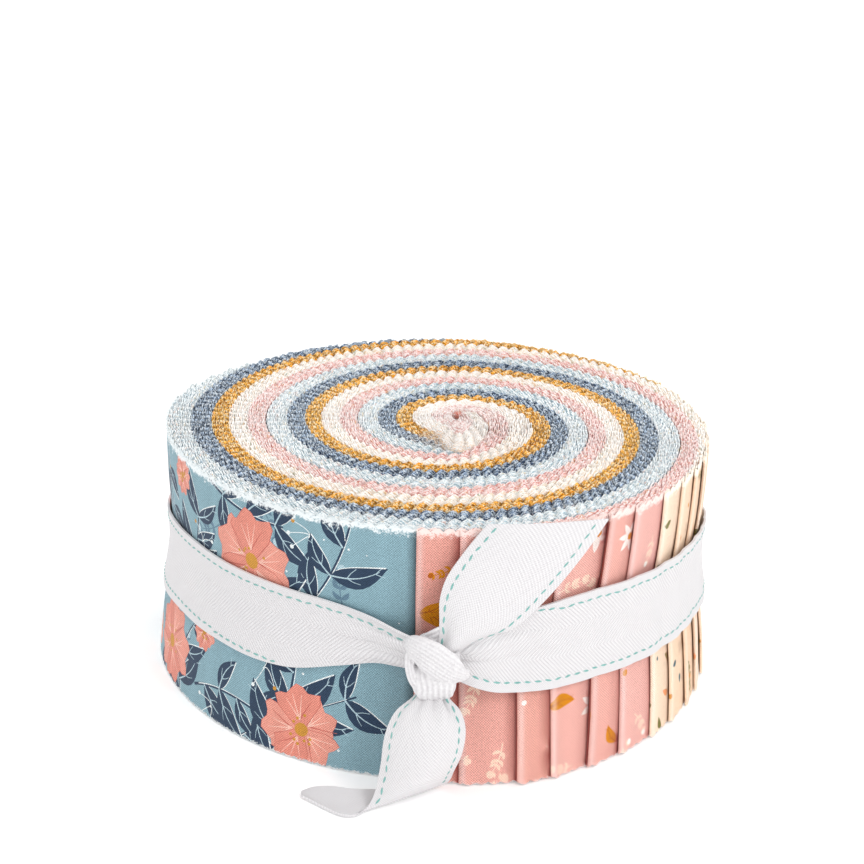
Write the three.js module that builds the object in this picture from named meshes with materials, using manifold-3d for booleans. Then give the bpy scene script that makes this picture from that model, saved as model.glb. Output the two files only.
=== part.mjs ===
// A roll of quilting fabric strips, tied round with a twill tape.
//
// Forty cotton strips, each folded once, are laid on each other as one stack
// of eighty layers. The stack is rolled up about three turns and stands on its
// cut edges. The folded ends of the strips stop one after another round the
// outside, so they step up like shingles. A flat tape goes round the middle,
// is knotted at the front and leaves two free tails, one up the front of the
// roll and one down to the surface, where it folds over once.
//
// Millimetres, +Z up, front at -Y. The origin is the middle of the flat
// bottom. Angles are in degrees about the eye of the roll, 0 at the front,
// growing towards +X.

import * as THREE from 'three';
import { mergeVertices } from 'three/addons/utils/BufferGeometryUtils.js';
import Module from 'manifold-3d';

// ---------------------------------------------------------------- dimensions

const HEIGHT = 63.5;            // width of a strip, so the height of the roll
const EYE = { x: 4.2, y: 7.2 }; // where the winding starts, seen from above
const FLARE = 0.04;             // how much wider the bottom is than the top
const PINCH = 1.8;              // how far the tape draws the outside in
const PINCH_AT = 33;            // height of the middle of the tape
const PINCH_REACH = 14;         // height over which the pinch fades
const TWIST = 2.0;              // degrees that the top is turned from the bottom
const OUTER_HALF = 12.1;        // from the middle of the stack to its outer face
const SLACK = 1.3;              // how far the outer strips stand off on the left
const SLACK_AT = -85;
const SLACK_REACH = 35;
const STEP = 0.57;              // two layers of cloth, one folded strip
const FOLD_DIP = 0.35;          // depth of the crease beside each folded end
const SEAM_WIDTH = 0.8;         // gap between one turn and the next, on the ends
const SEAM_DEPTH = 3;

const TAPE_THICK = 1.0;
const TAPE_GAP = 0.6;           // between the tape and the cloth
const ARC_STEP = 5;             // degrees between points where nothing happens

// The middle of the stack, turn after turn from its outer end to the eye.
const WINDING = [
  { at: -180, r: 60.6 }, { at: -150, r: 58.9 }, { at: -120, r: 58.8 },
  { at: -90, r: 60.4 }, { at: -60, r: 62.4 }, { at: -30, r: 64.4 },
  { at: 0, r: 62.9 }, { at: 30, r: 56.7 }, { at: 60, r: 49.0 },
  { at: 90, r: 43.6 }, { at: 120, r: 40.0 }, { at: 150, r: 37.5 },
  { at: 180, r: 36.9 }, { at: 210, r: 35.8 }, { at: 240, r: 35.9 },
  { at: 270, r: 37.0 }, { at: 300, r: 38.5 }, { at: 330, r: 39.5 },
  { at: 360, r: 37.3 }, { at: 390, r: 31.4 }, { at: 420, r: 25.3 },
  { at: 450, r: 20.6 }, { at: 480, r: 17.0 }, { at: 510, r: 14.2 },
  { at: 540, r: 13.2 }, { at: 570, r: 12.4 }, { at: 600, r: 12.6 },
  { at: 630, r: 13.6 }, { at: 660, r: 15.4 }, { at: 690, r: 17.0 },
  { at: 720, r: 18.5 },
];

// The inner face of the last turn, which closes up on the eye.
const CORE = [
  { at: 360, r: 27.6 }, { at: 390, r: 21.2 }, { at: 420, r: 14.6 },
  { at: 450, r: 9.2 }, { at: 480, r: 5.6 }, { at: 510, r: 3.4 },
  { at: 540, r: 2.4 }, { at: 570, r: 1.9 }, { at: 600, r: 1.6 },
  { at: 630, r: 1.4 },
];

// Where the folded ends stop on the outside. "strips" counts the ends that
// stop at the same place.
const FOLDS = [
  { at: -6.5, strips: 1 }, { at: 1.2, strips: 1 }, { at: 11.6, strips: 2 },
  { at: 18, strips: 1 }, { at: 27.2, strips: 2 }, { at: 34.2, strips: 1 },
  { at: 43.5, strips: 1 }, { at: 51, strips: 1 }, { at: 58.8, strips: 1 },
  { at: 66.5, strips: 1 }, { at: 76, strips: 1 }, { at: 87, strips: 1 },
  { at: 98, strips: 1 }, { at: 108, strips: 1 }, { at: 117, strips: 1 },
  { at: 126, strips: 1 }, { at: 135, strips: 1 }, { at: 144, strips: 1 },
  { at: 153, strips: 1 }, { at: 162, strips: 1 }, { at: 171, strips: 1 },
  { at: 179, strips: 1 }, { at: 187, strips: 1 }, { at: 195, strips: 1 },
  { at: 203, strips: 1 }, { at: 210, strips: 1 }, { at: 217, strips: 1 },
  { at: 224, strips: 1 }, { at: 231, strips: 1 }, { at: 237, strips: 2 },
  { at: 243, strips: 2 }, { at: 249, strips: 2 }, { at: 255, strips: 2 },
  { at: 261, strips: 1 },
];

// The band from the left of the knot, round the back, to the right of it:
// its middle height and its width, which gathers towards the knot.
const BAND = [
  { at: -3, mid: 33.0, wide: 7 }, { at: -12, mid: 34.2, wide: 10.4 },
  { at: -20, mid: 34.2, wide: 15.5 }, { at: -31, mid: 32.9, wide: 20.2 },
  { at: -50, mid: 32.6, wide: 21.4 }, { at: -66, mid: 32.4, wide: 21.6 },
  { at: -80, mid: 30.4, wide: 21.8 }, { at: -100, mid: 28.6, wide: 22 },
  { at: -180, mid: 29.5, wide: 22 }, { at: -260, mid: 29.6, wide: 22 },
  { at: -280, mid: 31.6, wide: 21.8 }, { at: -296, mid: 33.8, wide: 22 },
  { at: -312, mid: 34.2, wide: 22.2 }, { at: -334, mid: 34.1, wide: 22.2 },
  { at: -345, mid: 33.3, wide: 20.7 }, { at: -352, mid: 32.9, wide: 17.5 },
  { at: -357, mid: 33.0, wide: 13 }, { at: -362, mid: 33.6, wide: 8 },
];

// The knot is a squeezed lump with its long way from upper left to lower right.
const KNOT = {
  x: 1.1, y: -74.4, z: 33.2, halfWide: 7.0, halfDeep: 5.1, halfTall: 9.6,
  lean: -32, lump: 0.07, around: 20, up: 14,
};

// The tails, section by section: left edge, middle and right edge.
const UPPER_TAIL = [
  { lx: -1.0, ly: -74.6, lz: 35.6, cx: 0.6, cy: -74.8, cz: 35.8, rx: 2.4, ry: -74.6, rz: 35.2 },
  { lx: 1.2, ly: -75.4, lz: 41.0, cx: 4.4, cy: -75.8, cz: 39.6, rx: 7.0, ry: -75.0, rz: 37.6 },
  { lx: 1.1, ly: -74.2, lz: 46.0, cx: 8.0, cy: -74.2, cz: 43.2, rx: 14.0, ry: -72.2, rz: 40.0 },
  { lx: 1.7, ly: -72.9, lz: 51.0, cx: 11.2, cy: -72.2, cz: 47.6, rx: 21.0, ry: -69.6, rz: 42.9 },
  { lx: 3.9, ly: -71.7, lz: 55.8, cx: 15.6, cy: -70.8, cz: 52.8, rx: 27.3, ry: -66.8, rz: 49.8 },
  { lx: 7.4, ly: -70.8, lz: 60.6, cx: 20.0, cy: -69.0, cz: 58.4, rx: 32.5, ry: -63.6, rz: 55.8 },
  { lx: 11.2, ly: -69.6, lz: 65.0, cx: 25.2, cy: -66.8, cz: 64.0, rx: 39.2, ry: -59.4, rz: 62.4 },
];
const LOWER_TAIL = [
  { lx: -1.6, ly: -75.2, lz: 30.0, cx: 0.2, cy: -75.6, cz: 29.6, rx: 2.0, ry: -75.4, rz: 29.4 },
  { lx: -3.9, ly: -76.8, lz: 26.4, cx: 0.0, cy: -78.2, cz: 25.6, rx: 3.7, ry: -77.8, rz: 25.4 },
  { lx: -7.6, ly: -78.8, lz: 22.0, cx: -0.4, cy: -81.6, cz: 21.6, rx: 7.0, ry: -80.4, rz: 22.6 },
  { lx: -10.2, ly: -80.8, lz: 17.6, cx: -1.0, cy: -84.0, cz: 17.0, rx: 7.7, ry: -82.4, rz: 19.0 },
  { lx: -11.6, ly: -82.8, lz: 10.0, cx: -2.4, cy: -85.6, cz: 11.4, rx: 7.2, ry: -83.6, rz: 15.8 },
  { lx: -13.0, ly: -84.8, lz: 1.0, cx: -3.6, cy: -85.4, cz: 6.6, rx: 6.0, ry: -84.2, rz: 12.6 },
];
// Past the fold the tape lies back side up, and its end is cut at a slant.
const LOWER_END = [
  { lx: -13.0, ly: -84.8, lz: 1.0, cx: -3.6, cy: -85.4, cz: 6.6, rx: 6.0, ry: -84.2, rz: 12.6 },
  { lx: -14.2, ly: -86.0, lz: 0.7, cx: -8.6, cy: -84.6, cz: 3.0, rx: 0.2, ry: -81.4, rz: 7.6 },
  { lx: -15.6, ly: -87.4, lz: 0.6, cx: -15.4, cy: -84.4, cz: 1.1, rx: -13.4, ry: -80.4, rz: 2.4 },
  { lx: -17.3, ly: -88.4, lz: 0.6, cx: -23.4, cy: -84.2, cz: 0.8, rx: -29.2, ry: -79.4, rz: 1.8 },
];

// -------------------------------------------------------------- small tools

const rad = THREE.MathUtils.degToRad;

// A smooth curve through the rows of a table (Catmull-Rom on uneven steps).
function through(rows, at, key) {
  const last = rows.length - 1;
  const up = rows[last].at > rows[0].at ? 1 : -1;
  let i = 0;
  while (i < last - 1 && (at - rows[i + 1].at) * up > 0) i++;
  const a = rows[i], b = rows[i + 1], h = b.at - a.at;
  const slope = (j) => {
    const p = rows[Math.max(j - 1, 0)], n = rows[Math.min(j + 1, last)];
    return (n[key] - p[key]) / (n.at - p.at);
  };
  const t = Math.min(Math.max((at - a.at) / h, 0), 1), t2 = t * t, t3 = t2 * t;
  return (2 * t3 - 3 * t2 + 1) * a[key] + (t3 - 2 * t2 + t) * h * slope(i)
    + (3 * t2 - 2 * t3) * b[key] + (t3 - t2) * h * slope(i + 1);
}

// A closed surface as a geometry, from points and quads or triangles.
function closedGeometry(points, faces) {
  const index = [];
  for (const f of faces) {
    index.push(f[0], f[1], f[2]);
    if (f.length === 4) index.push(f[0], f[2], f[3]);
  }
  const g = new THREE.BufferGeometry();
  g.setAttribute('position', new THREE.Float32BufferAttribute(points.flat(), 3));
  g.setIndex(index);
  return g;
}

const wasm = await Module();
wasm.setup();

function solid(geometry) {
  let g = geometry.clone();
  g.deleteAttribute('normal');
  g.deleteAttribute('uv');
  g = mergeVertices(g, 1e-4);
  return new wasm.Manifold(new wasm.Mesh({
    numProp: 3,
    vertProperties: new Float32Array(g.attributes.position.array),
    triVerts: new Uint32Array(g.index.array),
  }));
}

function geometryOf(manifold) {
  const mesh = manifold.getMesh();
  const g = new THREE.BufferGeometry();
  const at = [];
  for (let i = 0; i < mesh.numVert; i++) {
    for (let k = 0; k < 3; k++) at.push(mesh.vertProperties[i * mesh.numProp + k]);
  }
  g.setAttribute('position', new THREE.Float32BufferAttribute(at, 3));
  g.setIndex(new THREE.BufferAttribute(new Uint32Array(mesh.triVerts), 1));
  g.computeVertexNormals();
  return g;
}

// ------------------------------------------------------------- the roll

const middle = (at) => through(WINDING, at, 'r');

// The inner face of the stack, which is the seam between two turns.
function seam(at) {
  if (at < -180) return middle(at + 360) + OUTER_HALF;
  if (at <= 360) return (middle(at) + middle(at + 360)) / 2;
  return through(CORE, at, 'r');
}

const firstFold = FOLDS[0].at;
const wrap = (at) => firstFold + ((((at - firstFold) % 360) + 360) % 360);

// Folded ends passed on the way round to this angle, from the first one.
const stripsBefore = (at) => FOLDS.reduce((n, f) => n + (f.at <= at ? f.strips : 0), 0);
const ends = FOLDS[FOLDS.length - 1].at;

// The outside of the roll at its top, without the creases. Past the last
// folded end it is the plain outer face of the whole stack.
function outside(at) {
  const w = wrap(at);
  if (w >= ends + 1) {
    const d = (w - 360 - SLACK_AT) / SLACK_REACH;
    return middle(w - 360) + OUTER_HALF + SLACK * Math.exp(-d * d);
  }
  return middle(w) + OUTER_HALF + stripsBefore(w) * STEP;
}

// How the outside changes with height.
function atHeight(radius, angle, z, pull = PINCH) {
  const s = 1 + FLARE * (1 - z / HEIGHT);
  const a = rad(angle + TWIST * (z / HEIGHT - 0.5));
  const d = (z - PINCH_AT) / PINCH_REACH;
  const r = radius - pull * Math.exp(-d * d);
  return [(EYE.x + r * Math.sin(a)) * s, (EYE.y - r * Math.cos(a)) * s, z];
}

// Points round the outside: each panel of cloth runs from its folded end, a
// little proud, to the crease beside the next one.
function outlinePoints() {
  const points = [];
  FOLDS.forEach((fold, i) => {
    const next = i + 1 < FOLDS.length ? FOLDS[i + 1].at : firstFold + 360;
    const before = i ? outside(fold.at - 0.01) : outside(firstFold + 359.99);
    points.push({ at: fold.at - 0.12, r: before - FOLD_DIP });
    points.push({ at: fold.at, r: outside(fold.at) - FOLD_DIP });
    points.push({ at: fold.at + 0.5, r: outside(fold.at) + 0.12 });
    const span = next - fold.at;
    const steps = Math.max(2, Math.round(span / ARC_STEP));
    for (let k = 1; k < steps; k++) {
      const at = fold.at + (span * k) / steps;
      points.push({ at, r: outside(at) });
    }
  });
  return points;
}

function rollGeometry() {
  const ring = outlinePoints();
  const levels = [0, 9, 17, 24, 29, PINCH_AT, 37, 42, 49, 57, HEIGHT];
  const points = [], faces = [], n = ring.length;
  for (const z of levels) for (const p of ring) points.push(atHeight(p.r, p.at, z));
  for (let k = 0; k + 1 < levels.length; k++) {
    for (let i = 0; i < n; i++) {
      const j = (i + 1) % n;
      faces.push([k * n + i, k * n + j, (k + 1) * n + j, (k + 1) * n + i]);
    }
  }
  const flat = (k) => points.slice(k * n, k * n + n).map((p) => new THREE.Vector2(p[0], p[1]));
  for (const t of THREE.ShapeUtils.triangulateShape(flat(0), [])) faces.push([t[0], t[2], t[1]]);
  const top = (levels.length - 1) * n;
  for (const t of THREE.ShapeUtils.triangulateShape(flat(levels.length - 1), [])) {
    faces.push([top + t[0], top + t[1], top + t[2]]);
  }
  return closedGeometry(points, faces);
}

// The seam between the turns, as a narrow channel in the top and the bottom.
function seamGeometry(bottom) {
  const left = [], right = [];
  const start = firstFold - 360, stop = 620;
  const z = bottom ? 0 : HEIGHT;
  for (let at = start; at <= stop; at += at < 360 ? 9 : 12) {
    const r = at === start ? seam(at) + 0.4 : seam(at);
    const a = atHeight(r - SEAM_WIDTH / 2, at, z, 0), b = atHeight(r + SEAM_WIDTH / 2, at, z, 0);
    left.push(new THREE.Vector2(a[0], a[1]));
    right.push(new THREE.Vector2(b[0], b[1]));
  }
  // Outwards past the wall, so that the channel opens beside the first fold.
  const open = atHeight(seam(start) + 6, start - 4, z, 0);
  right.unshift(new THREE.Vector2(open[0], open[1]));
  const shape = new THREE.Shape([...left, ...right.reverse()]);
  const g = new THREE.ExtrudeGeometry(shape, { depth: SEAM_DEPTH + 1, bevelEnabled: false });
  g.translate(0, 0, bottom ? -1 : HEIGHT - SEAM_DEPTH);
  return g;
}

function makeRoll() {
  const body = solid(rollGeometry())
    .subtract(solid(seamGeometry(false)))
    .subtract(solid(seamGeometry(true)));
  return geometryOf(body);
}

// ------------------------------------------------------------- the tape

// A slab of even thickness on a grid of points, closed on all sides. The
// grid's rows run along the tape and its columns across it.
function slab(grid, thick, side = 0.5) {
  const rows = grid.length, cols = grid[0].length, normals = [];
  for (let i = 0; i < rows; i++) {
    normals.push([]);
    for (let j = 0; j < cols; j++) {
      const u = new THREE.Vector3().subVectors(grid[Math.min(i + 1, rows - 1)][j], grid[Math.max(i - 1, 0)][j]);
      const v = new THREE.Vector3().subVectors(grid[i][Math.min(j + 1, cols - 1)], grid[i][Math.max(j - 1, 0)]);
      normals[i].push(u.cross(v).normalize());
    }
  }
  const points = [], faces = [], half = rows * cols;
  for (const s of [side - 1, side]) {
    for (let i = 0; i < rows; i++) {
      for (let j = 0; j < cols; j++) {
        points.push(grid[i][j].clone().addScaledVector(normals[i][j], s * thick).toArray());
      }
    }
  }
  const id = (s, i, j) => s * half + i * cols + j;
  for (let i = 0; i + 1 < rows; i++) {
    for (let j = 0; j + 1 < cols; j++) {
      faces.push([id(1, i, j), id(1, i + 1, j), id(1, i + 1, j + 1), id(1, i, j + 1)]);
      faces.push([id(0, i, j), id(0, i, j + 1), id(0, i + 1, j + 1), id(0, i + 1, j)]);
    }
    faces.push([id(0, i, 0), id(0, i + 1, 0), id(1, i + 1, 0), id(1, i, 0)]);
    faces.push([id(1, i, cols - 1), id(1, i + 1, cols - 1), id(0, i + 1, cols - 1), id(0, i, cols - 1)]);
  }
  for (let j = 0; j + 1 < cols; j++) {
    faces.push([id(1, 0, j), id(1, 0, j + 1), id(0, 0, j + 1), id(0, 0, j)]);
    faces.push([id(0, rows - 1, j), id(0, rows - 1, j + 1), id(1, rows - 1, j + 1), id(1, rows - 1, j)]);
  }
  return closedGeometry(points, faces);
}

// The outside of the roll as the taut tape meets it: it spans the creases.
function underTape(at, z) {
  let r = 0;
  for (let d = -7; d <= 7; d += 1) r = Math.max(r, outside(at + d) - 0.012 * d * d);
  return atHeight(r + 0.12 + TAPE_GAP, at - TWIST * (z / HEIGHT - 0.5), z);
}

function bandGrid() {
  const grid = [], across = 5;
  const first = BAND[0].at, last = BAND[BAND.length - 1].at;
  const steps = 76;
  for (let i = 0; i <= steps; i++) {
    const at = first + ((last - first) * i) / steps;
    const mid = through(BAND, at, 'mid'), wide = through(BAND, at, 'wide');
    const row = [];
    for (let j = 0; j < across; j++) {
      const z = mid + wide * (j / (across - 1) - 0.5);
      row.push(new THREE.Vector3(...underTape(at, z)));
    }
    grid.push(row);
  }
  return grid;
}

// A smooth surface on a tail's sections.
function tailGrid(rows, perRow, across = 7) {
  const lines = ['l', 'c', 'r'].map((side) => new THREE.CatmullRomCurve3(
    rows.map((r) => new THREE.Vector3(r[side + 'x'], r[side + 'y'], r[side + 'z'])), false, 'centripetal'));
  const grid = [], steps = (rows.length - 1) * perRow;
  for (let i = 0; i <= steps; i++) {
    const [l, c, r] = lines.map((line) => line.getPoint(i / steps));
    const row = [];
    for (let j = 0; j < across; j++) {
      const t = j / (across - 1);
      row.push(new THREE.Vector3()
        .addScaledVector(l, (1 - t) * (1 - 2 * t))
        .addScaledVector(c, 4 * t * (1 - t))
        .addScaledVector(r, t * (2 * t - 1)));
    }
    grid.push(row);
  }
  return grid;
}

function knotGeometry() {
  const g = new THREE.SphereGeometry(1, KNOT.around, KNOT.up);
  const p = g.attributes.position, v = new THREE.Vector3();
  for (let i = 0; i < p.count; i++) {
    v.fromBufferAttribute(p, i);
    const swell = 1 + KNOT.lump * Math.cos(3 * v.x + 1) * Math.cos(2.5 * v.y) + KNOT.lump * Math.sin(4 * v.y);
    p.setXYZ(i, v.x * KNOT.halfWide * swell, v.z * KNOT.halfDeep, v.y * KNOT.halfTall * swell);
  }
  // The swap of two axes above turned the faces inside out.
  const index = g.index.array;
  for (let i = 0; i < index.length; i += 3) [index[i], index[i + 1]] = [index[i + 1], index[i]];
  g.rotateY(rad(KNOT.lean));
  g.translate(KNOT.x, KNOT.y, KNOT.z);
  return g;
}

function makeTape() {
  const tape = solid(slab(bandGrid(), TAPE_THICK, 0))
    .add(solid(knotGeometry()))
    .add(solid(slab(tailGrid(UPPER_TAIL, 3), TAPE_THICK)))
    .add(solid(slab(tailGrid(LOWER_TAIL, 3), TAPE_THICK)))
    .add(solid(slab(tailGrid(LOWER_END, 4), TAPE_THICK)));
  return geometryOf(tape);
}

// ------------------------------------------------------------- the scene

const cotton = new THREE.MeshStandardMaterial({ color: 0x8fb0bd, roughness: 0.9, metalness: 0 });
const twill = new THREE.MeshStandardMaterial({ color: 0xf3f2f4, roughness: 0.8, metalness: 0 });

const roll = new THREE.Mesh(makeRoll(), cotton);
roll.name = 'fabric_roll';

const tie = new THREE.Mesh(makeTape(), twill);
tie.name = 'tie_tape';

const group = new THREE.Group();
group.add(roll, tie);

export default group;
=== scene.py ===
# The looks of a roll of quilting fabric strips, tied round with a twill tape.
#
# Lengths are in millimetres until a mesh is made. Angles are in degrees about
# the eye of the roll, 0 at the front, growing towards +X. A winding angle runs
# on from turn to turn: -366.5 where the outermost strip ends, about 905 at the
# eye. A layer is one thickness of cloth, 0 the innermost of the stack of 80.

import math

import bpy
import numpy as np
from mathutils import Matrix, Vector
from mathutils.geometry import delaunay_2d_cdt
from mathutils.kdtree import KDTree


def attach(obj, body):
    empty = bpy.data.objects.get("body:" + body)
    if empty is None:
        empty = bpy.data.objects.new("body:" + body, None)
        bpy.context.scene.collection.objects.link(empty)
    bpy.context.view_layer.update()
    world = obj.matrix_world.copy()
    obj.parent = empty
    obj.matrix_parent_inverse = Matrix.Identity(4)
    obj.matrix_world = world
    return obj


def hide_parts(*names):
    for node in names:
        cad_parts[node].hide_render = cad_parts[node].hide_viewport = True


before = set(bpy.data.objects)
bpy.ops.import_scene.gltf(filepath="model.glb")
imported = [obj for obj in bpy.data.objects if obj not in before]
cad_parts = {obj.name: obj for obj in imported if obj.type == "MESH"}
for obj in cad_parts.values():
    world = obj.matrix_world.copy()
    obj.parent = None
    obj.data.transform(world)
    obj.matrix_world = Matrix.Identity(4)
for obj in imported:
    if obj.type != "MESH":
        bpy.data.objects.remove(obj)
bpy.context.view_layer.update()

MM = 0.001
HEIGHT = 63.5
EYE = (4.2, 7.2)
FLARE = 0.04
PINCH, PINCH_AT, PINCH_REACH = 1.8, 33.0, 14.0
TWIST = 2.0
OUTER_HALF = 12.1
SLACK, SLACK_AT, SLACK_REACH = 1.3, -85.0, 35.0
CLOTH = 0.24
PITCH = 2.95
TOOTH = {"pink": 0.85, "cream": 1.0, "mustard": 0.8, "navy": 0.85, "blue": 0.85}

WINDING = np.array([
    (-180, 60.6), (-150, 58.9), (-120, 58.8), (-90, 60.4), (-60, 62.4), (-30, 64.4),
    (0, 62.9), (30, 56.7), (60, 49.0), (90, 43.6), (120, 40.0), (150, 37.5), (180, 36.9),
    (210, 35.8), (240, 35.9), (270, 37.0), (300, 38.5), (330, 39.5), (360, 37.3),
    (390, 31.4), (420, 25.3), (450, 20.6), (480, 17.0), (510, 14.2), (540, 13.2),
    (570, 12.4), (600, 12.6), (630, 13.6), (660, 15.4), (690, 17.0), (720, 18.5),
], float)
CORE = np.array([
    (360, 27.6), (375, 21.0), (390, 15.2), (420, 8.6), (450, 6.3), (480, 4.7), (510, 3.3),
    (540, 2.4), (570, 1.9), (600, 1.6), (630, 1.4), (720, 1.2), (905, 0.9),
], float)
FOLDS = [
    (-6.5, 1), (1.2, 1), (11.6, 2), (18, 1), (27.2, 2), (34.2, 1), (43.5, 1), (51, 1),
    (58.8, 1), (66.5, 1), (76, 1), (87, 1), (98, 1), (108, 1), (117, 1), (126, 1), (135, 1),
    (144, 1), (153, 1), (162, 1), (171, 1), (179, 1), (187, 1), (195, 1), (203, 1), (210, 1),
    (217, 1), (224, 1), (231, 1), (237, 2), (243, 2), (249, 2), (255, 2), (261, 1),
]
BAND = np.array([
    (-362, 33.6, 8), (-357, 33.0, 13), (-352, 32.9, 17.5), (-345, 33.3, 20.7), (-334, 34.1, 22.2),
    (-312, 34.2, 22.2), (-296, 33.8, 22), (-280, 31.6, 21.8), (-260, 29.6, 22),
    (-180, 29.5, 22), (-100, 28.6, 22), (-80, 30.4, 21.8), (-66, 32.4, 21.6),
    (-50, 32.6, 21.4), (-31, 32.9, 20.2), (-20, 34.2, 15.5), (-12, 34.2, 10.4),
    (-3, 33.0, 7),
], float)
GROUPS = [("pink", 0, 16), ("cream", 16, 32), ("mustard", 32, 46), ("navy", 46, 62), ("blue", 62, 80)]


# ------------------------------------------------------------------ the camera

def make_camera():
    e, roll = math.radians(20.561), math.radians(1.712)
    forward = Vector((0, math.cos(e), -math.sin(e)))
    right = Vector((1, 0, 0))
    up = right.cross(forward)
    across = right * math.cos(roll) + up * math.sin(roll)
    upward = up * math.cos(roll) - right * math.sin(roll)
    eye = Vector((-1.988, 0, 60.805)) * MM - forward * 550 * MM
    data = bpy.data.cameras.new("camera")
    data.lens, data.sensor_width, data.sensor_fit = 89.717, 36, "HORIZONTAL"
    data.clip_start, data.clip_end = 0.05, 20
    camera = bpy.data.objects.new("camera", data)
    turn = Matrix((across, upward, -forward)).transposed()
    camera.matrix_world = Matrix.Translation(eye) @ turn.to_4x4()
    bpy.context.scene.collection.objects.link(camera)
    bpy.context.scene.camera = camera


# ------------------------------------------------------------- small functions

def through(table, at, column=1):
    """A smooth curve through the rows of a table, as in the CAD."""
    x, y = table[:, 0], table[:, column]
    slope = np.empty(len(x))
    slope[1:-1] = (y[2:] - y[:-2]) / (x[2:] - x[:-2])
    slope[0] = (y[1] - y[0]) / (x[1] - x[0])
    slope[-1] = (y[-1] - y[-2]) / (x[-1] - x[-2])
    at = np.asarray(at, float)
    i = np.clip(np.searchsorted(x, at, side="right") - 1, 0, len(x) - 2)
    h = x[i + 1] - x[i]
    t = np.clip((at - x[i]) / h, 0, 1)
    t2, t3 = t * t, t * t * t
    return (
        (2 * t3 - 3 * t2 + 1) * y[i] + (t3 - 2 * t2 + t) * h * slope[i]
        + (3 * t2 - 2 * t3) * y[i + 1] + (t3 - t2) * h * slope[i + 1]
    )


def ease(x):
    x = np.clip(x, 0, 1)
    return x * x * (3 - 2 * x)


def linear(colour):
    """A colour given as 0-255 sRGB numbers, as linear ones."""
    c = np.asarray(colour, float) / 255
    return np.where(c <= 0.04045, c / 12.92, ((c + 0.055) / 1.055) ** 2.4)


def blend_of(a, b, share):
    return np.asarray(a, float) * (1 - share) + np.asarray(b, float) * share


def wander(at, rng, reach):
    """A smooth random line between about -1 and 1 that changes over reach."""
    span = float(at.max() - at.min()) + 1e-6
    n = max(4, int(span / reach) + 4)
    knots = rng.uniform(-1, 1, n)
    x = (at - at.min()) / span * (n - 2.001) + 0.5
    i = np.floor(x).astype(int)
    t = ease(x - i)
    return knots[i] * (1 - t) + knots[np.minimum(i + 1, n - 1)] * t


# ------------------------------------------------------------- the wound stack

def mid(at):
    return through(WINDING, at)


def seam(at):
    """The inner face of the stack."""
    at = np.asarray(at, float)
    outer = mid(at + 360) + OUTER_HALF
    between = (mid(at) + mid(at + 360)) / 2
    inner = through(CORE, at)
    w1, w2 = ease((at + 186) / 12), ease((at - 352) / 16)
    r = outer * (1 - w1) + between * w1
    return r * (1 - w2) + inner * w2


def full_out(at):
    """The outer face of the whole stack."""
    at = np.asarray(at, float)
    free = mid(at) + OUTER_HALF + SLACK * np.exp(-(((at - SLACK_AT) / SLACK_REACH) ** 2))
    return np.where(at < -6.5, free, seam(at - 360))


T_FULL = float((full_out(-98) - seam(-98)) / 40)


def radius(at, layer, gaps=True):
    """Where a layer's inner face lies; layer may be a fraction."""
    at, layer = np.broadcast_arrays(np.asarray(at, float), np.asarray(layer, float))
    base, out, m = seam(at), full_out(at), mid(at)
    t = np.where(at >= -98, (out - base) / 40, 0.57 + (T_FULL - 0.57) * ease((at + 180) / 82))
    a = base + layer * t / 2
    b = np.where(layer < 40, base + (m - base) * layer / 40, m + (out - m) * (layer - 40) / 40)
    w = ease((at + 150) / 90)
    r = a * (1 - w) + b * w
    r32 = base + 0.8 * (m - base)
    w2 = ease((at - 688) / 36)
    r32 = r32 * (1 - w2) + (seam(at - 360) - 0.25) * w2
    core = np.where(layer < 32, base + (r32 - base) * layer / 32, r32 + (out - r32) * (layer - 32) / 48)
    r = r * (1 - w2) + core * w2
    if gaps:
        r = r + 0.18 * np.clip(1 - layer / 4, 0, 1) * ease((780 - at) / 60)
        r = r - 0.10 * np.clip((layer - 76) / 4, 0, 1) * ease((at + 6.5) / 10)
    return r


FOLD_AT = np.array([at for at, n in FOLDS for _ in range(n)], float) - 360
assert len(FOLD_AT) == 40


def outermost(at):
    """The outside of the roll at any winding angle's place round it."""
    w = -366.5 + np.mod(np.asarray(at, float) + 366.5, 360)
    strips = np.searchsorted(FOLD_AT, w, side="right")
    return radius(w, 2.0 * strips)


def place(r, at, z, pull=None):
    """A point in space. pull is how far the tape draws it in at its height."""
    r, at, z = np.broadcast_arrays(np.asarray(r, float), np.asarray(at, float), np.asarray(z, float))
    if pull is None:
        pull = PINCH * np.exp(-(((z - PINCH_AT) / PINCH_REACH) ** 2))
    round_ = np.mod(at + 180, 360) - 180
    flare = FLARE - 0.015 * np.exp(-(((round_ + 45) / 35) ** 2)) + 0.040 * np.exp(-(((round_ - 14) / 13) ** 2))
    s = 1 + flare * (1 - z / HEIGHT) ** 2
    a = np.radians(at + TWIST * (z / HEIGHT - 0.5))
    r = r - pull
    x, y = r * np.sin(a), -r * np.cos(a)
    e = np.exp(-((r / 4) ** 2))  # the eye is a slit, not a round hole
    x, y = x * (1 - 0.25 * e), y * (1 + 0.9 * e) - 1.9 * e
    return np.stack([(EYE[0] + x) * s, (EYE[1] + y) * s, z], -1)


# -------------------------------------------------------------------- meshes

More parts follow.
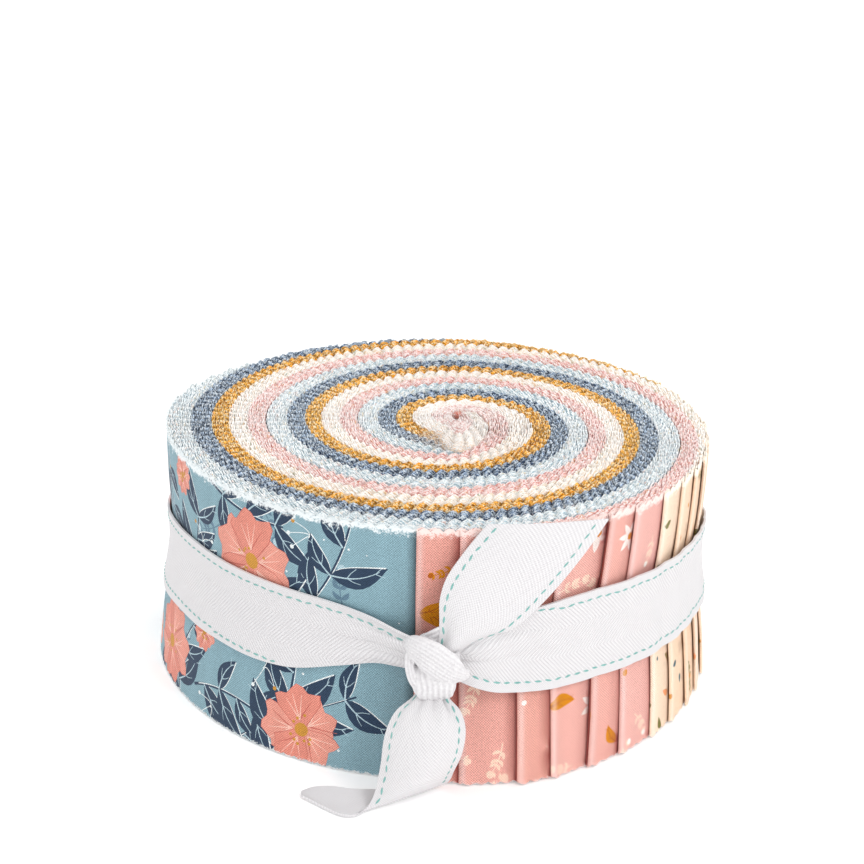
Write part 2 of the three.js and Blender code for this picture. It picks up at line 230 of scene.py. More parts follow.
def add_mesh(name, verts, faces, colours=None, uv=None, sharp=0.8):
    """faces is (n, 3) or (n, 4). colours and uv have a row for each corner."""
    me = bpy.data.meshes.new(name)
    me.vertices.add(len(verts))
    me.vertices.foreach_set("co", (np.asarray(verts) * MM).astype(np.float32).ravel())
    n, k = faces.shape
    me.loops.add(n * k)
    me.loops.foreach_set("vertex_index", faces.astype(np.int32).ravel())
    me.polygons.add(n)
    me.polygons.foreach_set("loop_start", np.arange(0, n * k, k, dtype=np.int32))
    me.update(calc_edges=True)
    if me.validate():
        print("mesh repaired:", name)
    if colours is not None:
        c = np.ones((n * k, 4), np.float32)
        c[:, :3] = colours
        me.color_attributes.new("paint", "FLOAT_COLOR", "CORNER").data.foreach_set("color", c.ravel())
    if uv is not None:
        me.uv_layers.new(name="cloth").uv.foreach_set("vector", np.asarray(uv, np.float32).ravel())
    me.polygons.foreach_set("use_smooth", np.ones(n, bool))
    me.set_sharp_from_angle(angle=sharp)
    ob = bpy.data.objects.new(name, me)
    bpy.context.scene.collection.objects.link(ob)
    return ob


# -------------------------------------------------------- the layers of cloth

COLOURS = {  # print side, back side, cut edge
    "pink": ((232, 178, 170), (244, 212, 206), (251, 232, 228)),
    "cream": ((248, 234, 216), (254, 248, 242), (255, 253, 250)),
    "mustard": ((222, 150, 24), (234, 168, 50), (238, 184, 88)),
    "navy": ((64, 83, 110), (116, 133, 156), (150, 165, 181)),
    "blue": ((186, 206, 214), (228, 237, 240), (242, 247, 248)),
}
SPECKS = {
    "pink": ((204, 104, 96), (222, 160, 80), (255, 248, 245)),
    "cream": ((232, 184, 116), (150, 164, 140), (252, 214, 198)),
    "mustard": ((128, 76, 14), (252, 228, 180), (236, 186, 96)),
    "navy": ((30, 42, 66), (224, 231, 236), (86, 110, 136)),
    "blue": ((140, 162, 176), (244, 204, 192), (232, 208, 166)),
}
GRID = np.arange(-366.5, 906, 0.25)


def arc(layer):
    """Length along a layer at each angle of GRID."""
    r = radius(GRID, layer)
    return np.concatenate([[0], np.cumsum((r[1:] + r[:-1]) / 2 * np.radians(0.25))])


class Strips:
    """Gathers the layers of one colour into one mesh."""

    def __init__(self, name, first, last, seed):
        self.name, self.rng = name, np.random.default_rng(seed)
        self.length = arc((first + last) / 2)
        self.first = first
        self.drift = {}
        self.verts, self.faces, self.cols, self.uvs, self.count = [], [], [], [], 0
        self.tones = [np.array([linear(c) for c in COLOURS[name]])]
        self.specks = np.array([linear(c) for c in SPECKS[name]])

    def phase(self, layer):
        strip = int((layer - self.first) // 2)
        if strip not in self.drift:
            loose = 0.10 + 0.45 * np.exp(-(((np.mod(GRID, 360) - 75) / 55) ** 2))
            self.drift[strip] = 0.05 * strip + loose * wander(self.length, self.rng, 150)
        return self.length / PITCH + self.drift[strip]

    def add(self, layer, start, stop, side):
        """One layer from start to stop. side is 1 where the print faces out.

        Each tooth has four columns at the top, two at the foot, and one where
        the tape draws the roll in.
        """
        rng, tooth = self.rng, TOOTH[self.name]
        phase = self.phase(layer) + rng.uniform(-0.06, 0.06)
        p0, p1 = np.interp([start, stop], GRID, phase)
        first, cells = math.ceil(p0), math.floor(p1) - math.ceil(p0)
        if cells < 1:
            return
        k = np.arange(4 * cells + 1)
        quarter = k % 4
        at = np.interp(first + (k + rng.uniform(-0.12, 0.12, len(k))) / 4, phase, GRID)
        n = len(at)
        r = radius(at, layer + 0.5) + 0.02 * wander(at, rng, 30)
        drop = np.choose(quarter, [0.0, 0.36, 1.0, 0.36]) * tooth * np.clip(r / 17, 0.35, 1)
        top = HEIGHT + 0.12 * wander(at, rng, 40) + rng.uniform(-0.13, 0.13, n) - drop - rng.uniform(0, 0.10, n)
        top = np.minimum(top, HEIGHT + 0.25)
        gap = np.abs(radius(at, layer + 1) - radius(at, layer))
        thick = np.clip(0.84 * gap, 0.05, CLOTH)
        loose = np.clip(gap / 0.29, 0.3, 1.5)
        splay = rng.uniform(-0.12, 0.12, n) * np.choose(quarter, [1.0, 0.7, 0.35, 0.7]) * loose
        depth = outermost(at) - r
        pull = (PINCH + 0.4) * np.clip(1 - depth / 14, 0, 1)
        slant = rng.uniform(-0.25, 0.25, n)
        mid_k, foot_k = k[::4], k[::2]
        low = np.where(foot_k % 4 == 0, 0.05, 0.9 * tooth) + rng.uniform(0, 0.15, len(foot_k))
        rings = []
        for sign in (-1, 1):
            half = sign * thick / 2
            tip = place(r + half * 0.8 + splay, at + slant / np.maximum(r, 3) * 57.3 * 0.5, top, 0 * r)
            middle = place((r + half)[mid_k], at[mid_k], np.full(len(mid_k), PINCH_AT), pull[mid_k])
            foot = place((r + half)[foot_k], at[foot_k], low, 0 * r[foot_k])
            rings.append((tip, middle, foot))
        sizes = [n, len(mid_k), len(foot_k)]
        starts = np.concatenate([[0], np.cumsum(sizes * 2)])[:-1] + self.count
        (ti, mi, fi, to, mo, fo) = starts
        c = np.arange(cells)
        def side_faces(t, m, f):
            t, m, f = t + 4 * c, m + c, f + 2 * c
            return np.stack([
                np.stack([m, t, t + 1], -1), np.stack([m, t + 1, t + 2], -1), np.stack([m, t + 2, m + 1], -1),
                np.stack([m + 1, t + 2, t + 3], -1), np.stack([m + 1, t + 3, t + 4], -1),
                np.stack([m, f + 1, f], -1), np.stack([m, m + 1, f + 1], -1), np.stack([m + 1, f + 2, f + 1], -1),
            ], 1)
        inner, outer = side_faces(ti, mi, fi), side_faces(to, mo, fo)[:, :, ::-1]
        q = np.arange(n - 1)
        rim = np.concatenate([np.stack([ti + q, to + q, to + q + 1], -1), np.stack([ti + q, to + q + 1, ti + q + 1], -1)])
        q = np.arange(len(foot_k) - 1)
        base = np.concatenate([np.stack([fi + q, fo + q + 1, fo + q], -1), np.stack([fi + q, fi + q + 1, fo + q + 1], -1)])
        e = np.array([[ti, mi, mo], [ti, mo, to], [mi, fi, fo], [mi, fo, mo]])
        last = np.array([n - 1, len(mid_k) - 1, len(foot_k) - 1])
        tl, ml, fl, tol, mol, fol = ti + last[0], mi + last[1], fi + last[2], to + last[0], mo + last[1], fo + last[2]
        e2 = np.array([[tl, mol, ml], [tl, tol, mol], [ml, fol, fl], [ml, mol, fol]])
        faces = np.concatenate([inner.reshape(-1, 3), outer.reshape(-1, 3), rim, base, e, e2])
        # Colours: a value for each column of tips, paler at the tips as cut ends are, and darkened in the valleys with
        # painted shade.
        print_side, back, cut = self.tones[0]
        strong = {"navy": 0.45, "mustard": 0.30}.get(self.name, 0.10)
        tone = 1 + 0.05 * wander(at, rng, 12) + rng.uniform(-strong, strong, n)
        tone = tone * np.choose(quarter, [{"navy": 1.9, "mustard": 1.35}.get(self.name, 1.05), 1.0, {"navy": 0.26, "mustard": 0.36}.get(self.name, 0.84), 1.0])
        tone = (tone * (1 + rng.uniform(-0.05, 0.05)))[:, None]
        spots = rng.random(n) < 0.12
        amount = (spots * rng.uniform(0.3, 0.9, n))[:, None]
        speck = self.specks[rng.integers(0, 3, n)]
        shades = []
        for base_c in ((back if side > 0 else print_side), (print_side if side > 0 else back), cut):
            col = base_c * tone * (1 - amount) + speck * amount
            if self.name in ("mustard", "navy"):  # paler towards their inner ends
                fade = (ease((at - 672 + 10 * wander(at, rng, 20)) / 40) * 0.75)[:, None]
                col = col * (1 - fade) + linear((244, 234, 222)) * fade
            if self.name in ("pink", "cream"):  # the heart of the roll is nearly white
                fade = (ease((at - 360) / 130) * 0.62 * (1 - ease((at - 850) / 30)))[:, None]
                col = col * (1 - fade) + linear((254, 249, 246)) * fade
                heart = (ease((at - 862) / 20) * 0.75)[:, None]
                col = col * (1 - heart) + linear((224, 112, 84)) * heart
            shades.append(col)
        inner_c, outer_c, cut_c = shades
        vc_in = np.concatenate([inner_c, inner_c[mid_k], inner_c[foot_k]])
        vc_out = np.concatenate([outer_c, outer_c[mid_k], outer_c[foot_k]])
        vc_side = np.concatenate([vc_in, vc_out])
        vc_cut = np.concatenate([cut_c, cut_c[mid_k], cut_c[foot_k]] * 2)
        n_side = 16 * cells
        cols = np.concatenate([vc_side[faces[:n_side] - self.count], vc_cut[faces[n_side:] - self.count]])
        verts = np.concatenate([x for ring in rings for x in ring])
        run = np.interp(at, GRID, self.length)
        u = np.concatenate([run, run[mid_k], run[foot_k]] * 2)
        uv = np.stack([u, verts[:, 2]], -1)[faces - self.count]
        self.verts.append(verts)
        self.faces.append(faces)
        self.cols.append(cols.reshape(-1, 3))
        self.uvs.append(uv.reshape(-1, 2))
        self.count += len(verts)

    def finish(self, name):
        return add_mesh(
            name, np.concatenate(self.verts), np.concatenate(self.faces),
            np.concatenate(self.cols), np.concatenate(self.uvs), 0.7,
        )


def make_layers():
    made = {}
    for number, (name, first, last) in enumerate(GROUPS):
        strips = Strips(name, first, last, 100 + number)
        rng = np.random.default_rng(200 + number)
        for layer in range(first, last):
            j = layer // 2
            if layer % 2 == 0:
                start = FOLD_AT[j] + math.degrees(5.0 / float(radius(FOLD_AT[j], layer)))
            else:
                nxt = FOLD_AT[j + 1] if j < 39 else -6.5
                start = nxt + math.degrees(3.0 / float(radius(nxt, layer)))
            if name in ("pink", "cream"):
                stop = 905 - 0.3 * layer
                gap = radius(GRID, layer + 1) - radius(GRID, layer)
                late = GRID > 770
                if layer % 2 == 1:
                    stop = min(stop, GRID[late][np.argmax(gap[late] < 0.19)])
                elif layer % 4 == 2:
                    stop = min(stop, GRID[late][np.argmax(gap[late] < 0.10)])
                wide = (GRID > 370) & (GRID < stop) & (gap > 0.42 + rng.uniform(-0.03, 0.03))
                edges = np.flatnonzero(np.diff(np.concatenate([[0], wide.astype(int), [0]])))
                for a, b in zip(edges[::2], edges[1::2]):
                    a, b = GRID[a], GRID[b - 1]
                    if b - a > 12:
                        strips.add(layer + 0.5, a + rng.uniform(0, 6), b - rng.uniform(0, 6), 1 if layer % 4 else -1)
            else:
                stop = {"mustard": 703, "navy": 711, "blue": 721}[name] + rng.uniform(-8, 6)
            strips.add(layer, start, stop, 1 if layer % 2 else -1)
        made[name] = strips.finish("strips_" + name)
    return made


def make_threads():
    """Frayed ends of yarn standing out of the cut edges."""
    rng = np.random.default_rng(77)
    at, layer, z, tone, size, up = [], [], [], [], [], []
    for name, first, last, count in (("pink", 0, 16, 2400), ("cream", 16, 32, 1300), ("mustard", 32, 46, 900), ("navy", 46, 62, 1200), ("blue", 62, 80, 2700)):
        turns = np.sqrt(rng.random(count))            # more of them where the turns are wider
        a = -350 + (1 - turns) * {"pink": 1180, "cream": 1160, "mustard": 1030, "navy": 1035, "blue": 1040}[name]
        first_at = FOLD_AT[np.minimum(last // 2 - 1, 39)] + 6
        edge_back = np.where(a < first_at, rng.uniform(first_at, first_at + 360, count), a)
        tones = np.array([linear(COLOURS[name][k]) for k in (0, 1, 2, 2)] + [linear(SPECKS[name][k]) for k in (0, 1, 2)])
        white = linear((255, 253, 250))
        mix = rng.random(count)[:, None] * {"mustard": 0.35, "navy": 0.6}.get(name, 0.9)
        at.append(edge_back)
        layer.append(rng.uniform(first, last, count))
        z.append(HEIGHT - rng.random(count) ** 2 * 0.9)
        tone.append(tones[rng.integers(0, len(tones), count)] * (1 - mix) + white * mix)
        size.append(rng.uniform(0.35, 0.95, count))
        up.append(np.ones(count))
    # At the eye, and where the middle strips end beside it.
    for lo, hi, l0, l1, count, deep, tones in (
        (850, 905, 0.0, 3.0, 260, 1.2, [(222, 92, 66), (236, 130, 104), (250, 214, 200), (255, 250, 246)]),
        (690, 730, 26.0, 52.0, 420, 1.0, [(255, 253, 250), (255, 250, 244), (250, 226, 190), (196, 208, 218), (238, 176, 110), (255, 240, 234)]),
    ):
        at.append(rng.uniform(lo, hi, count))
        layer.append(rng.uniform(l0, l1, count))
        z.append(HEIGHT - rng.random(count) * deep)
        tones = np.array([linear(c) for c in tones])
        tone.append(tones[rng.integers(0, len(tones), count)])
        size.append(rng.uniform(0.6, 1.3, count))
        up.append(np.full(count, 0.5))
    # Along the rims of the strips that show, above and below.
    for count, height, way in ((2500, HEIGHT - 0.35, 1), (700, 0.5, -1)):
        a = rng.uniform(-366, -7, count)
        front = rng.random(count) < 0.45
        a[front] = rng.uniform(-90, -7, front.sum())
        j = np.clip(np.searchsorted(FOLD_AT, a, side="right") - 1, 0, 39)
        ground = np.array([linear((244, 214, 208))] * 8 + [linear((253, 244, 232))] * 8 + [linear((240, 206, 140))] * 7 + [linear((176, 190, 204))] * 8 + [linear((222, 234, 238))] * 9)
        at.append(a)
        layer.append(2.0 * j + 1.75)
        z.append(height + rng.uniform(-0.45, 0.35, count) * (1 if way > 0 else 0.4))
        mix = rng.random(count)[:, None]
        tone.append(ground[j] * (1 - mix) + linear((255, 254, 252)) * mix)
        size.append(rng.uniform(0.4, 1.5, count) * (1 if way > 0 else 0.6))
        up.append(np.full(count, way * 1.0))
    at, layer, z, tone, size, up = (np.concatenate(v) for v in (at, layer, z, tone, size, up))
    n = len(at)
    foot = place(radius(at, layer), at, z)
    a = np.radians(at)
    away = np.stack([np.sin(a), -np.cos(a), 0 * a], -1)
    along = np.stack([np.cos(a), np.sin(a), 0 * a], -1)
    rimmed = (np.arange(n) >= n - 3200)
    go = (away * np.where(rimmed, rng.uniform(-0.2, 0.9, n), rng.uniform(-0.9, 0.9, n))[:, None]
          + along * rng.uniform(-1.2, 1.2, n)[:, None] + np.array([0, 0, 1.0]) * (up * rng.uniform(0.05, 0.8, n))[:, None])
    go /= np.linalg.norm(go, axis=1)[:, None]
    turn = rng.normal(0, 0.5, (n, 3))
    half = foot + go * size[:, None] * 0.5
    go2 = go + turn
    go2 /= np.linalg.norm(go2, axis=1)[:, None]
    tip = half + go2 * size[:, None] * 0.5
    foot = foot - go * 0.12
    limit = np.where(up > 0, HEIGHT + 0.8, 99)
    for p in (half, tip):
        p[:, 2] = np.clip(p[:, 2], 0.06, limit)
    b1 = np.cross(go, rng.normal(0, 1, (n, 3)))
    b1 /= np.linalg.norm(b1, axis=1)[:, None]
    b2 = np.cross(go, b1)
    w = rng.uniform(0.03, 0.06, n)[:, None]
    rings = []
    for p, k in ((foot, 1.0), (half, 0.85)):
        for q in range(3):
            t = 2 * math.pi * q / 3
            rings.append(p + (b1 * math.cos(t) + b2 * math.sin(t)) * w * k)
    verts = np.stack(rings + [tip], 1)
    pattern = np.array([[0, 2, 1]] + [[q, (q + 1) % 3, 3 + (q + 1) % 3] for q in range(3)]
                       + [[q, 3 + (q + 1) % 3, 3 + q] for q in range(3)] + [[3 + q, 3 + (q + 1) % 3, 6] for q in range(3)])
    faces = (np.arange(n)[:, None, None] * 7 + pattern[None]).reshape(-1, 3)
    cols = np.repeat(tone, len(pattern) * 3, 0)
    uv = np.tile(np.array([[0.0, 0.0], [0.2, 0.0], [0.0, 0.2]]), (len(faces), 1))
    verts[..., 2] = np.maximum(verts[..., 2], 0.03)
    return add_mesh("loose_threads", verts.reshape(-1, 3), faces, cols, uv, 1.2)


# ------------------------------------------------------------ printed motifs
# Each motif is a list of (polygon, colour) in millimetres on the flat cloth,
# later ones on top.

def turned(points, x, y, angle, mirror=1):
    p = np.asarray(points, float)
    c, s = math.cos(math.radians(angle)), math.sin(math.radians(angle))
    px, py = p[:, 0], p[:, 1] * mirror
    return np.stack([x + px * c - py * s, y + px * s + py * c], -1)


def bezier(a, b, c, n):
    t = np.linspace(0, 1, n)[:, None]
    a, b, c = (np.asarray(v, float) for v in (a, b, c))
    return (1 - t) ** 2 * a + 2 * t * (1 - t) * b + t * t * c


def ribbon(path, w0, w1=None):
    """A thin line as a polygon, w0 wide at its start and w1 at its end."""
    path = np.asarray(path, float)
    w1 = w0 if w1 is None else w1
    d = np.gradient(path, axis=0)
    d /= np.linalg.norm(d, axis=1)[:, None] + 1e-9
    n = np.stack([-d[:, 1], d[:, 0]], -1)
    w = np.linspace(w0, w1, len(path))[:, None] / 2
    return np.concatenate([path - n * w, (path + n * w)[::-1]])


def leaf(x, y, length, width, angle, dark, pale, bend=0.15, veins=2, outline=None):
    out = []
    t = np.linspace(0, 1, 9)
    half = width / 2 * np.sin(np.pi * t ** 0.8) ** 0.9
    spine = bend * length * np.sin(np.pi * t)
    upper = np.stack([t * length, spine + half], -1)
    lower = np.stack([t * length, spine - half], -1)[::-1]
    shape = np.concatenate([lower[::-1], upper[::-1][1:-1]])
    if outline is not None:
        big = shape * 1.0
        centre = big.mean(0)
        big = centre + (big - centre) * (1 + 0.9 / np.array([length, width]))
        out.append((turned(big, x, y, angle), outline))
    out.append((turned(shape, x, y, angle), dark))
    if pale is not None:
        vein = np.stack([t[:-1] * length * 0.97, np.interp(t[:-1], t, spine)], -1)
        out.append((turned(ribbon(vein, 0.42, 0.15), x, y, angle), pale))
        for i in range(veins):
            s = 0.28 + 0.5 * i / max(veins - 1, 1)
            sy = float(np.interp(s, t, spine))
            h = float(np.interp(s, t, half))
            for sign in (-1, 1):
                side = np.array([[s * length, sy], [s * length + 0.35 * h + 0.4, sy + sign * h * 0.45], [s * length + 0.9 * h + 0.6, sy + sign * h * 0.78]])
                out.append((turned(ribbon(side, 0.22, 0.12), x, y, angle), pale))
    return out


def blossom(x, y, size, rng, tones):
    """An open five-petalled flower: tones are body, deep, pale, heart."""
    body, deep, pale, heart = tones
    out = []
    spin = rng.uniform(0, 72)
    for order in (0, 2, 4, 1, 3):
        a = spin + order * 72 + rng.uniform(-6, 6)
        s = size * rng.uniform(0.9, 1.08)
        t = np.linspace(-1, 1, 11)
        edge = s * (0.93 + 0.09 * np.cos(t * 7.5 + rng.uniform(0, 6)) - 0.25 * t ** 4)
        spread = np.radians(44 * t)
        rim = np.stack([edge * np.cos(spread * 0.9), edge * np.sin(spread) * 1.02], -1)
        petal = np.concatenate([[[0.06 * s, 0.10 * s]], [[0.06 * s, -0.10 * s]], rim])
        # A thin deeper rim of each petal sets it off from the next.
        c = petal.mean(0)
        out.append((turned(c + (petal - c) * 1.035, x, y, a), deep))
        out.append((turned(petal, x, y, a), body if order % 2 else blend_of(body, pale, 0.22)))
        for m in (-26, -9, 8, 24):
            m += rng.uniform(-3, 3)
            reach = rng.uniform(0.62, 0.84)
            p = bezier((0.22 * s, 0), (0.45 * s, 0.45 * s * math.tan(math.radians(m)) * 0.7), (reach * s, reach * s * math.tan(math.radians(m))), 5)
            out.append((turned(ribbon(p, 0.42, 0.12), x, y, a), pale if m > -20 else deep))
    ring = np.linspace(0, 2 * math.pi, 11)[:-1]
    out.append((turned(np.stack([np.cos(ring), np.sin(ring)], -1) * size * 0.17, x, y, 0), heart))
    for k in range(9):
        a, d = rng.uniform(0, 6.28), size * rng.uniform(0.24, 0.38)
        out.append((dot(x + d * math.cos(a), y + d * math.sin(a), 0.42), heart))
    return out


def dot(x, y, r, n=7):
    a = np.linspace(0, 2 * math.pi, n + 1)[:-1] + 0.3
    return np.stack([x + r * np.cos(a), y + r * np.sin(a)], -1)


def daisy(x, y, size, rng, tones, petals=7):
    body, heart = tones
    out = []
    spin = rng.uniform(0, 360)
    t = np.linspace(0, 1, 6)
    half = 0.19 * size * np.sin(np.pi * t ** 0.7) ** 0.8
    shape = np.concatenate([np.stack([t * size, -half], -1), np.stack([t * size, half], -1)[::-1][1:-1]])
    shape[:, 0] = 0.15 * size + shape[:, 0] * 0.85
    for k in range(petals):
        out.append((turned(shape * rng.uniform(0.88, 1.05), x, y, spin + k * 360 / petals), body))
    out.append((dot(x, y, 0.22 * size), heart))
    return out


def sprig(x, y, size, angle, tone, rng, pairs=4, bud=None):
    out = []
    path = bezier((0, 0), (size * 0.5, size * 0.16), (size, size * 0.05), 9)
    out.append((turned(ribbon(path, 0.34, 0.2), x, y, angle), tone))
    for k in range(pairs):
        s = 0.25 + 0.62 * k / max(pairs - 1, 1)
        i = int(round(s * 8))
        p = turned(path[i:i + 1], x, y, angle)[0]
        ln = size * (0.30 - 0.1 * s)
        for sign in (-1, 1):
            out += leaf(p[0], p[1], ln, ln * 0.42, angle + sign * rng.uniform(38, 52), tone, None, 0.1 * sign)
    tip = turned(path[-1:], x, y, angle)[0]
    out.append((dot(tip[0], tip[1], size * 0.07 + 0.25), bud if bud is not None else tone))
    return out


def print_blue(width, rng):
    navy, pale, white = linear((44, 62, 84)), linear((172, 196, 205)), linear((226, 232, 232))
    coral, deep, light = linear((216, 136, 120)), linear((190, 104, 92)), linear((236, 184, 168))
    gold, dusty = linear((196, 140, 56)), linear((96, 124, 142))
    out = []
    for k in range(46):  # small pale dots under everything
        out.append((dot(rng.uniform(0, width), rng.uniform(0, 64), rng.uniform(0.2, 0.36), 6), white))
    for x, y, a in ((38, 36, 70), (72, 52, 200), (14, 30, 130), (95, 28, 20), (60, 6, 95), (110, 40, 90), (2, 58, 10), (86, 63, 300)):
        out += sprig(x, y, 11, a, dusty, rng, 4, pale)
    stems = [
        ((6, -4), (16, 16), (33, 27), 1), ((27, 68), (44, 55), (43, 33), -1), ((57, -4), (50, 16), (70, 29), 1),
        ((60, 67), (74, 57), (94, 58), -1), ((80, -3), (92, 9), (114, 19), 1), ((98, 36), (110, 50), (112, 66), -1),
        ((-5, 38), (8, 50), (9, 66), 1), ((34, 16), (45, 5), (50, -3), -1), ((70, 37), (82, 33), (92, 36), -1),
        ((64, 6), (76, 12), (90, 8), 1), ((92, -4), (100, 18), (97, 30), -1),
        ((52, 30), (60, 38), (62, 52), 1),
    ]
    for a, b, c, way in stems:
        path = bezier(a, b, c, 17)
        out.append((ribbon(path, 0.8, 0.45), navy))
        out.append((ribbon(path[1:-1] + (0.48, 0.34), 0.26, 0.14), white))
        for i in (3, 7, 11, 15):
            d = path[min(i + 1, 16)] - path[i - 1]
            heading = math.degrees(math.atan2(d[1], d[0]))
            for sign in ((way, -way) if i % 8 == 7 else (-way,)):
                ln = rng.uniform(10.5, 15.5)
                turn = heading + sign * rng.uniform(34, 56)
                w = ln * rng.uniform(0.36, 0.43)
                out += leaf(path[i][0], path[i][1], ln, w, turn, navy, pale, 0.10 * sign, 2, None)
                t = np.linspace(0.12, 0.97, 8)
                rim = np.stack([t * ln, 0.10 * sign * ln * np.sin(np.pi * t) - sign * w / 2 * np.sin(np.pi * t ** 0.8) ** 0.9], -1)
                out.append((turned(ribbon(rim, 0.14, 0.34), path[i][0], path[i][1], turn), white))
    for x, y, s in ((21, 49, 12.5), (48, 10.5, 11.0), (84, 46.5, 12.5), (101, 8, 10.5), (-1, 14, 9), (66, 21, 5.2), (52, 58, 5.5), (31, 6, 4.8)):
        out += blossom(x, y, s, rng, (coral, deep, light, gold))
    for x, y in ((36, 60), (63, 44), (89, 20), (24, 17), (10, 32), (72, 3), (101, 57)):
        for k in range(3):
            a = rng.uniform(0, 360)
            end = np.array([x, y]) + 5.5 * np.array([math.cos(math.radians(a)), math.sin(math.radians(a))])
            out.append((ribbon(bezier((x, y), (x + 1.5, y + 2), end, 7), 0.24, 0.16), white))
            out.append((dot(end[0], end[1], 0.55), gold if k == 2 else white))
    return out


def print_small(width, rng, recipe):
    """Scattered small motifs on a staggered layout."""
    out = []
    step = recipe["step"]
    rows = int(64 / step) + 2
    for r in range(-1, rows):
        for c in range(-1, int(width / step) + 2):
            x = (c + 0.5 * (r % 2)) * step + rng.uniform(-0.18, 0.18) * step
            y = r * step + rng.uniform(-0.18, 0.18) * step + recipe.get("lift", 0)
            pick = recipe["motifs"][int(rng.integers(0, len(recipe["motifs"])))]
            kind, size, tone = pick[0], pick[1] * rng.uniform(0.88, 1.12), pick[2]
            a = rng.uniform(0, 360)
            if kind == "leaf":
                out += leaf(x, y, size, size * 0.46, a, tone, pick[3], 0.12, 2)
            elif kind == "twin":
                out += leaf(x, y, size, size * 0.46, a, tone, pick[3], 0.12, 2)
                out += leaf(x, y, size * 0.8, size * 0.4, a + 62, tone, pick[3], -0.12, 2)
            elif kind == "daisy":
                out += daisy(x, y, size, rng, (tone, pick[3]))
            elif kind == "sprig":
                out += sprig(x, y, size, a, tone, rng, 4, pick[3])
            elif kind == "dot":
                out.append((dot(x, y, size), tone))
            elif kind == "drop":
                t = np.linspace(0, 2 * math.pi, 10)[:-1]
                shape = np.stack([size * np.cos(t), 0.5 * size * np.sin(t) * (1 - 0.55 * np.cos(t))], -1)
                out.append((turned(shape, x, y, a), tone))
            elif kind == "blossom":
                out += blossom(x, y, size, rng, (tone, blend_of(tone, linear((120, 40, 30)), 0.2), blend_of(tone, (1, 1, 1), 0.4), pick[3]))
    return out


def prints_for(j, width, rng):
    """Ground colour and motifs of strip j."""
    c = linear
    gold, rust, white = c((208, 132, 12)), c((178, 96, 20)), c((238, 228, 222))
    cream, olive, teal = c((238, 204, 184)), c((116, 108, 40)), c((30, 82, 92))
    if j == 39:
        return c((131, 163, 174)), print_blue(width, rng)
    if j < 8:
        grounds = [(233, 158, 147), (238, 166, 156), (232, 156, 146), (236, 164, 152), (240, 172, 163), (234, 160, 150), (238, 168, 158), (240, 174, 166)]
        ground = c(grounds[j]) * np.array([0.86, 0.95, 0.93])
        recipes = [
            dict(step=13, lift=4, motifs=[("twin", 7.5, gold, rust), ("blossom", 4.6, gold, rust), ("sprig", 6.5, gold, rust)]),
            dict(step=17, lift=9, motifs=[("sprig", 8.5, cream, cream)]),
            dict(step=15, lift=2, motifs=[("daisy", 4.2, white, gold), ("twin", 6.5, gold, rust)]),
            dict(step=13, lift=6, motifs=[("sprig", 8, cream, white), ("dot", 0.7, white, None)]),
            dict(step=14, lift=1, motifs=[("daisy", 4.6, white, gold), ("leaf", 7.0, gold, rust), ("sprig", 7, cream, cream)]),
            dict(step=12, lift=5, motifs=[("leaf", 7.0, gold, rust), ("daisy", 4.0, white, rust)]),
            dict(step=13, lift=3, motifs=[("daisy", 4.4, white, gold), ("leaf", 6.0, gold, rust)]),
            dict(step=12, lift=7, motifs=[("sprig", 7.5, cream, white), ("dot", 0.8, gold, None)]),
        ]
        return ground, print_small(width, rng, recipes[j])
    if j < 16:
        ground = c([(236, 205, 176), (233, 199, 168), (239, 211, 186)][j % 3])
        recipes = [
            dict(step=8, motifs=[("drop", 1.3, teal, None), ("dot", 0.7, gold, None)]),
            dict(step=10, motifs=[("sprig", 6.0, olive, gold), ("dot", 0.9, c((232, 120, 50)), None)]),
            dict(step=9, motifs=[("drop", 1.6, c((236, 150, 96)), None), ("dot", 0.6, teal, None), ("leaf", 4.2, olive, None)]),
        ]
        return ground, print_small(width, rng, recipes[j % 3])
    if j < 23:
        ground = c([(210, 148, 44), (202, 138, 36), (216, 158, 58)][j % 3])
        recipes = [
            dict(step=8, motifs=[("dot", 0.7, cream, None), ("drop", 1.5, cream, None)]),
            dict(step=11, motifs=[("daisy", 3.4, cream, rust), ("leaf", 4.8, rust, None)]),
            dict(step=10, motifs=[("sprig", 6.5, cream, white)]),
        ]
        return ground, print_small(width, rng, recipes[j % 3])
    if j < 31:
        ground = c([(64, 86, 108), (58, 78, 100), (76, 98, 118)][j % 3])
        recipes = [
            dict(step=9, motifs=[("dot", 0.6, white, None), ("sprig", 6, c((150, 178, 188)), white)]),
            dict(step=11, motifs=[("daisy", 3.6, white, gold), ("leaf", 5.0, c((140, 170, 182)), None)]),
            dict(step=8, motifs=[("drop", 1.3, c((170, 194, 202)), None), ("dot", 0.5, white, None)]),
        ]
        return ground, print_small(width, rng, recipes[j % 3])
    ground = c([(168, 196, 204), (180, 204, 210), (158, 188, 198)][j % 3])
    recipes = [
        dict(step=9, motifs=[("dot", 0.7, white, None), ("drop", 1.5, white, None)]),
        dict(step=11, motifs=[("daisy", 3.8, white, c((231, 148, 130))), ("leaf", 5.0, c((62, 84, 104)), None)]),
        dict(step=10, motifs=[("sprig", 6.5, white, c((231, 148, 130)))]),
    ]
    return ground, print_small(width, rng, recipes[j % 3])


# ------------------------------------------------------- the folded outer ends

LEAN = {1.2 - 360: -1.5}


def fold_lean(j):
    """How the folded end leans along its height; strips that stop together lean together."""
    key = float(FOLD_AT[j])
    if key not in LEAN:
        LEAN[key] = float(np.random.default_rng(900 + j).uniform(-1.2, 1.2))
    return LEAN[key]


def fold_angle(j):
    same = np.flatnonzero(np.abs(FOLD_AT - FOLD_AT[j]) < 1e-6)
    return FOLD_AT[j] + 0.12 * (int(np.where(same == j)[0][0]) - (len(same) - 1) / 2)


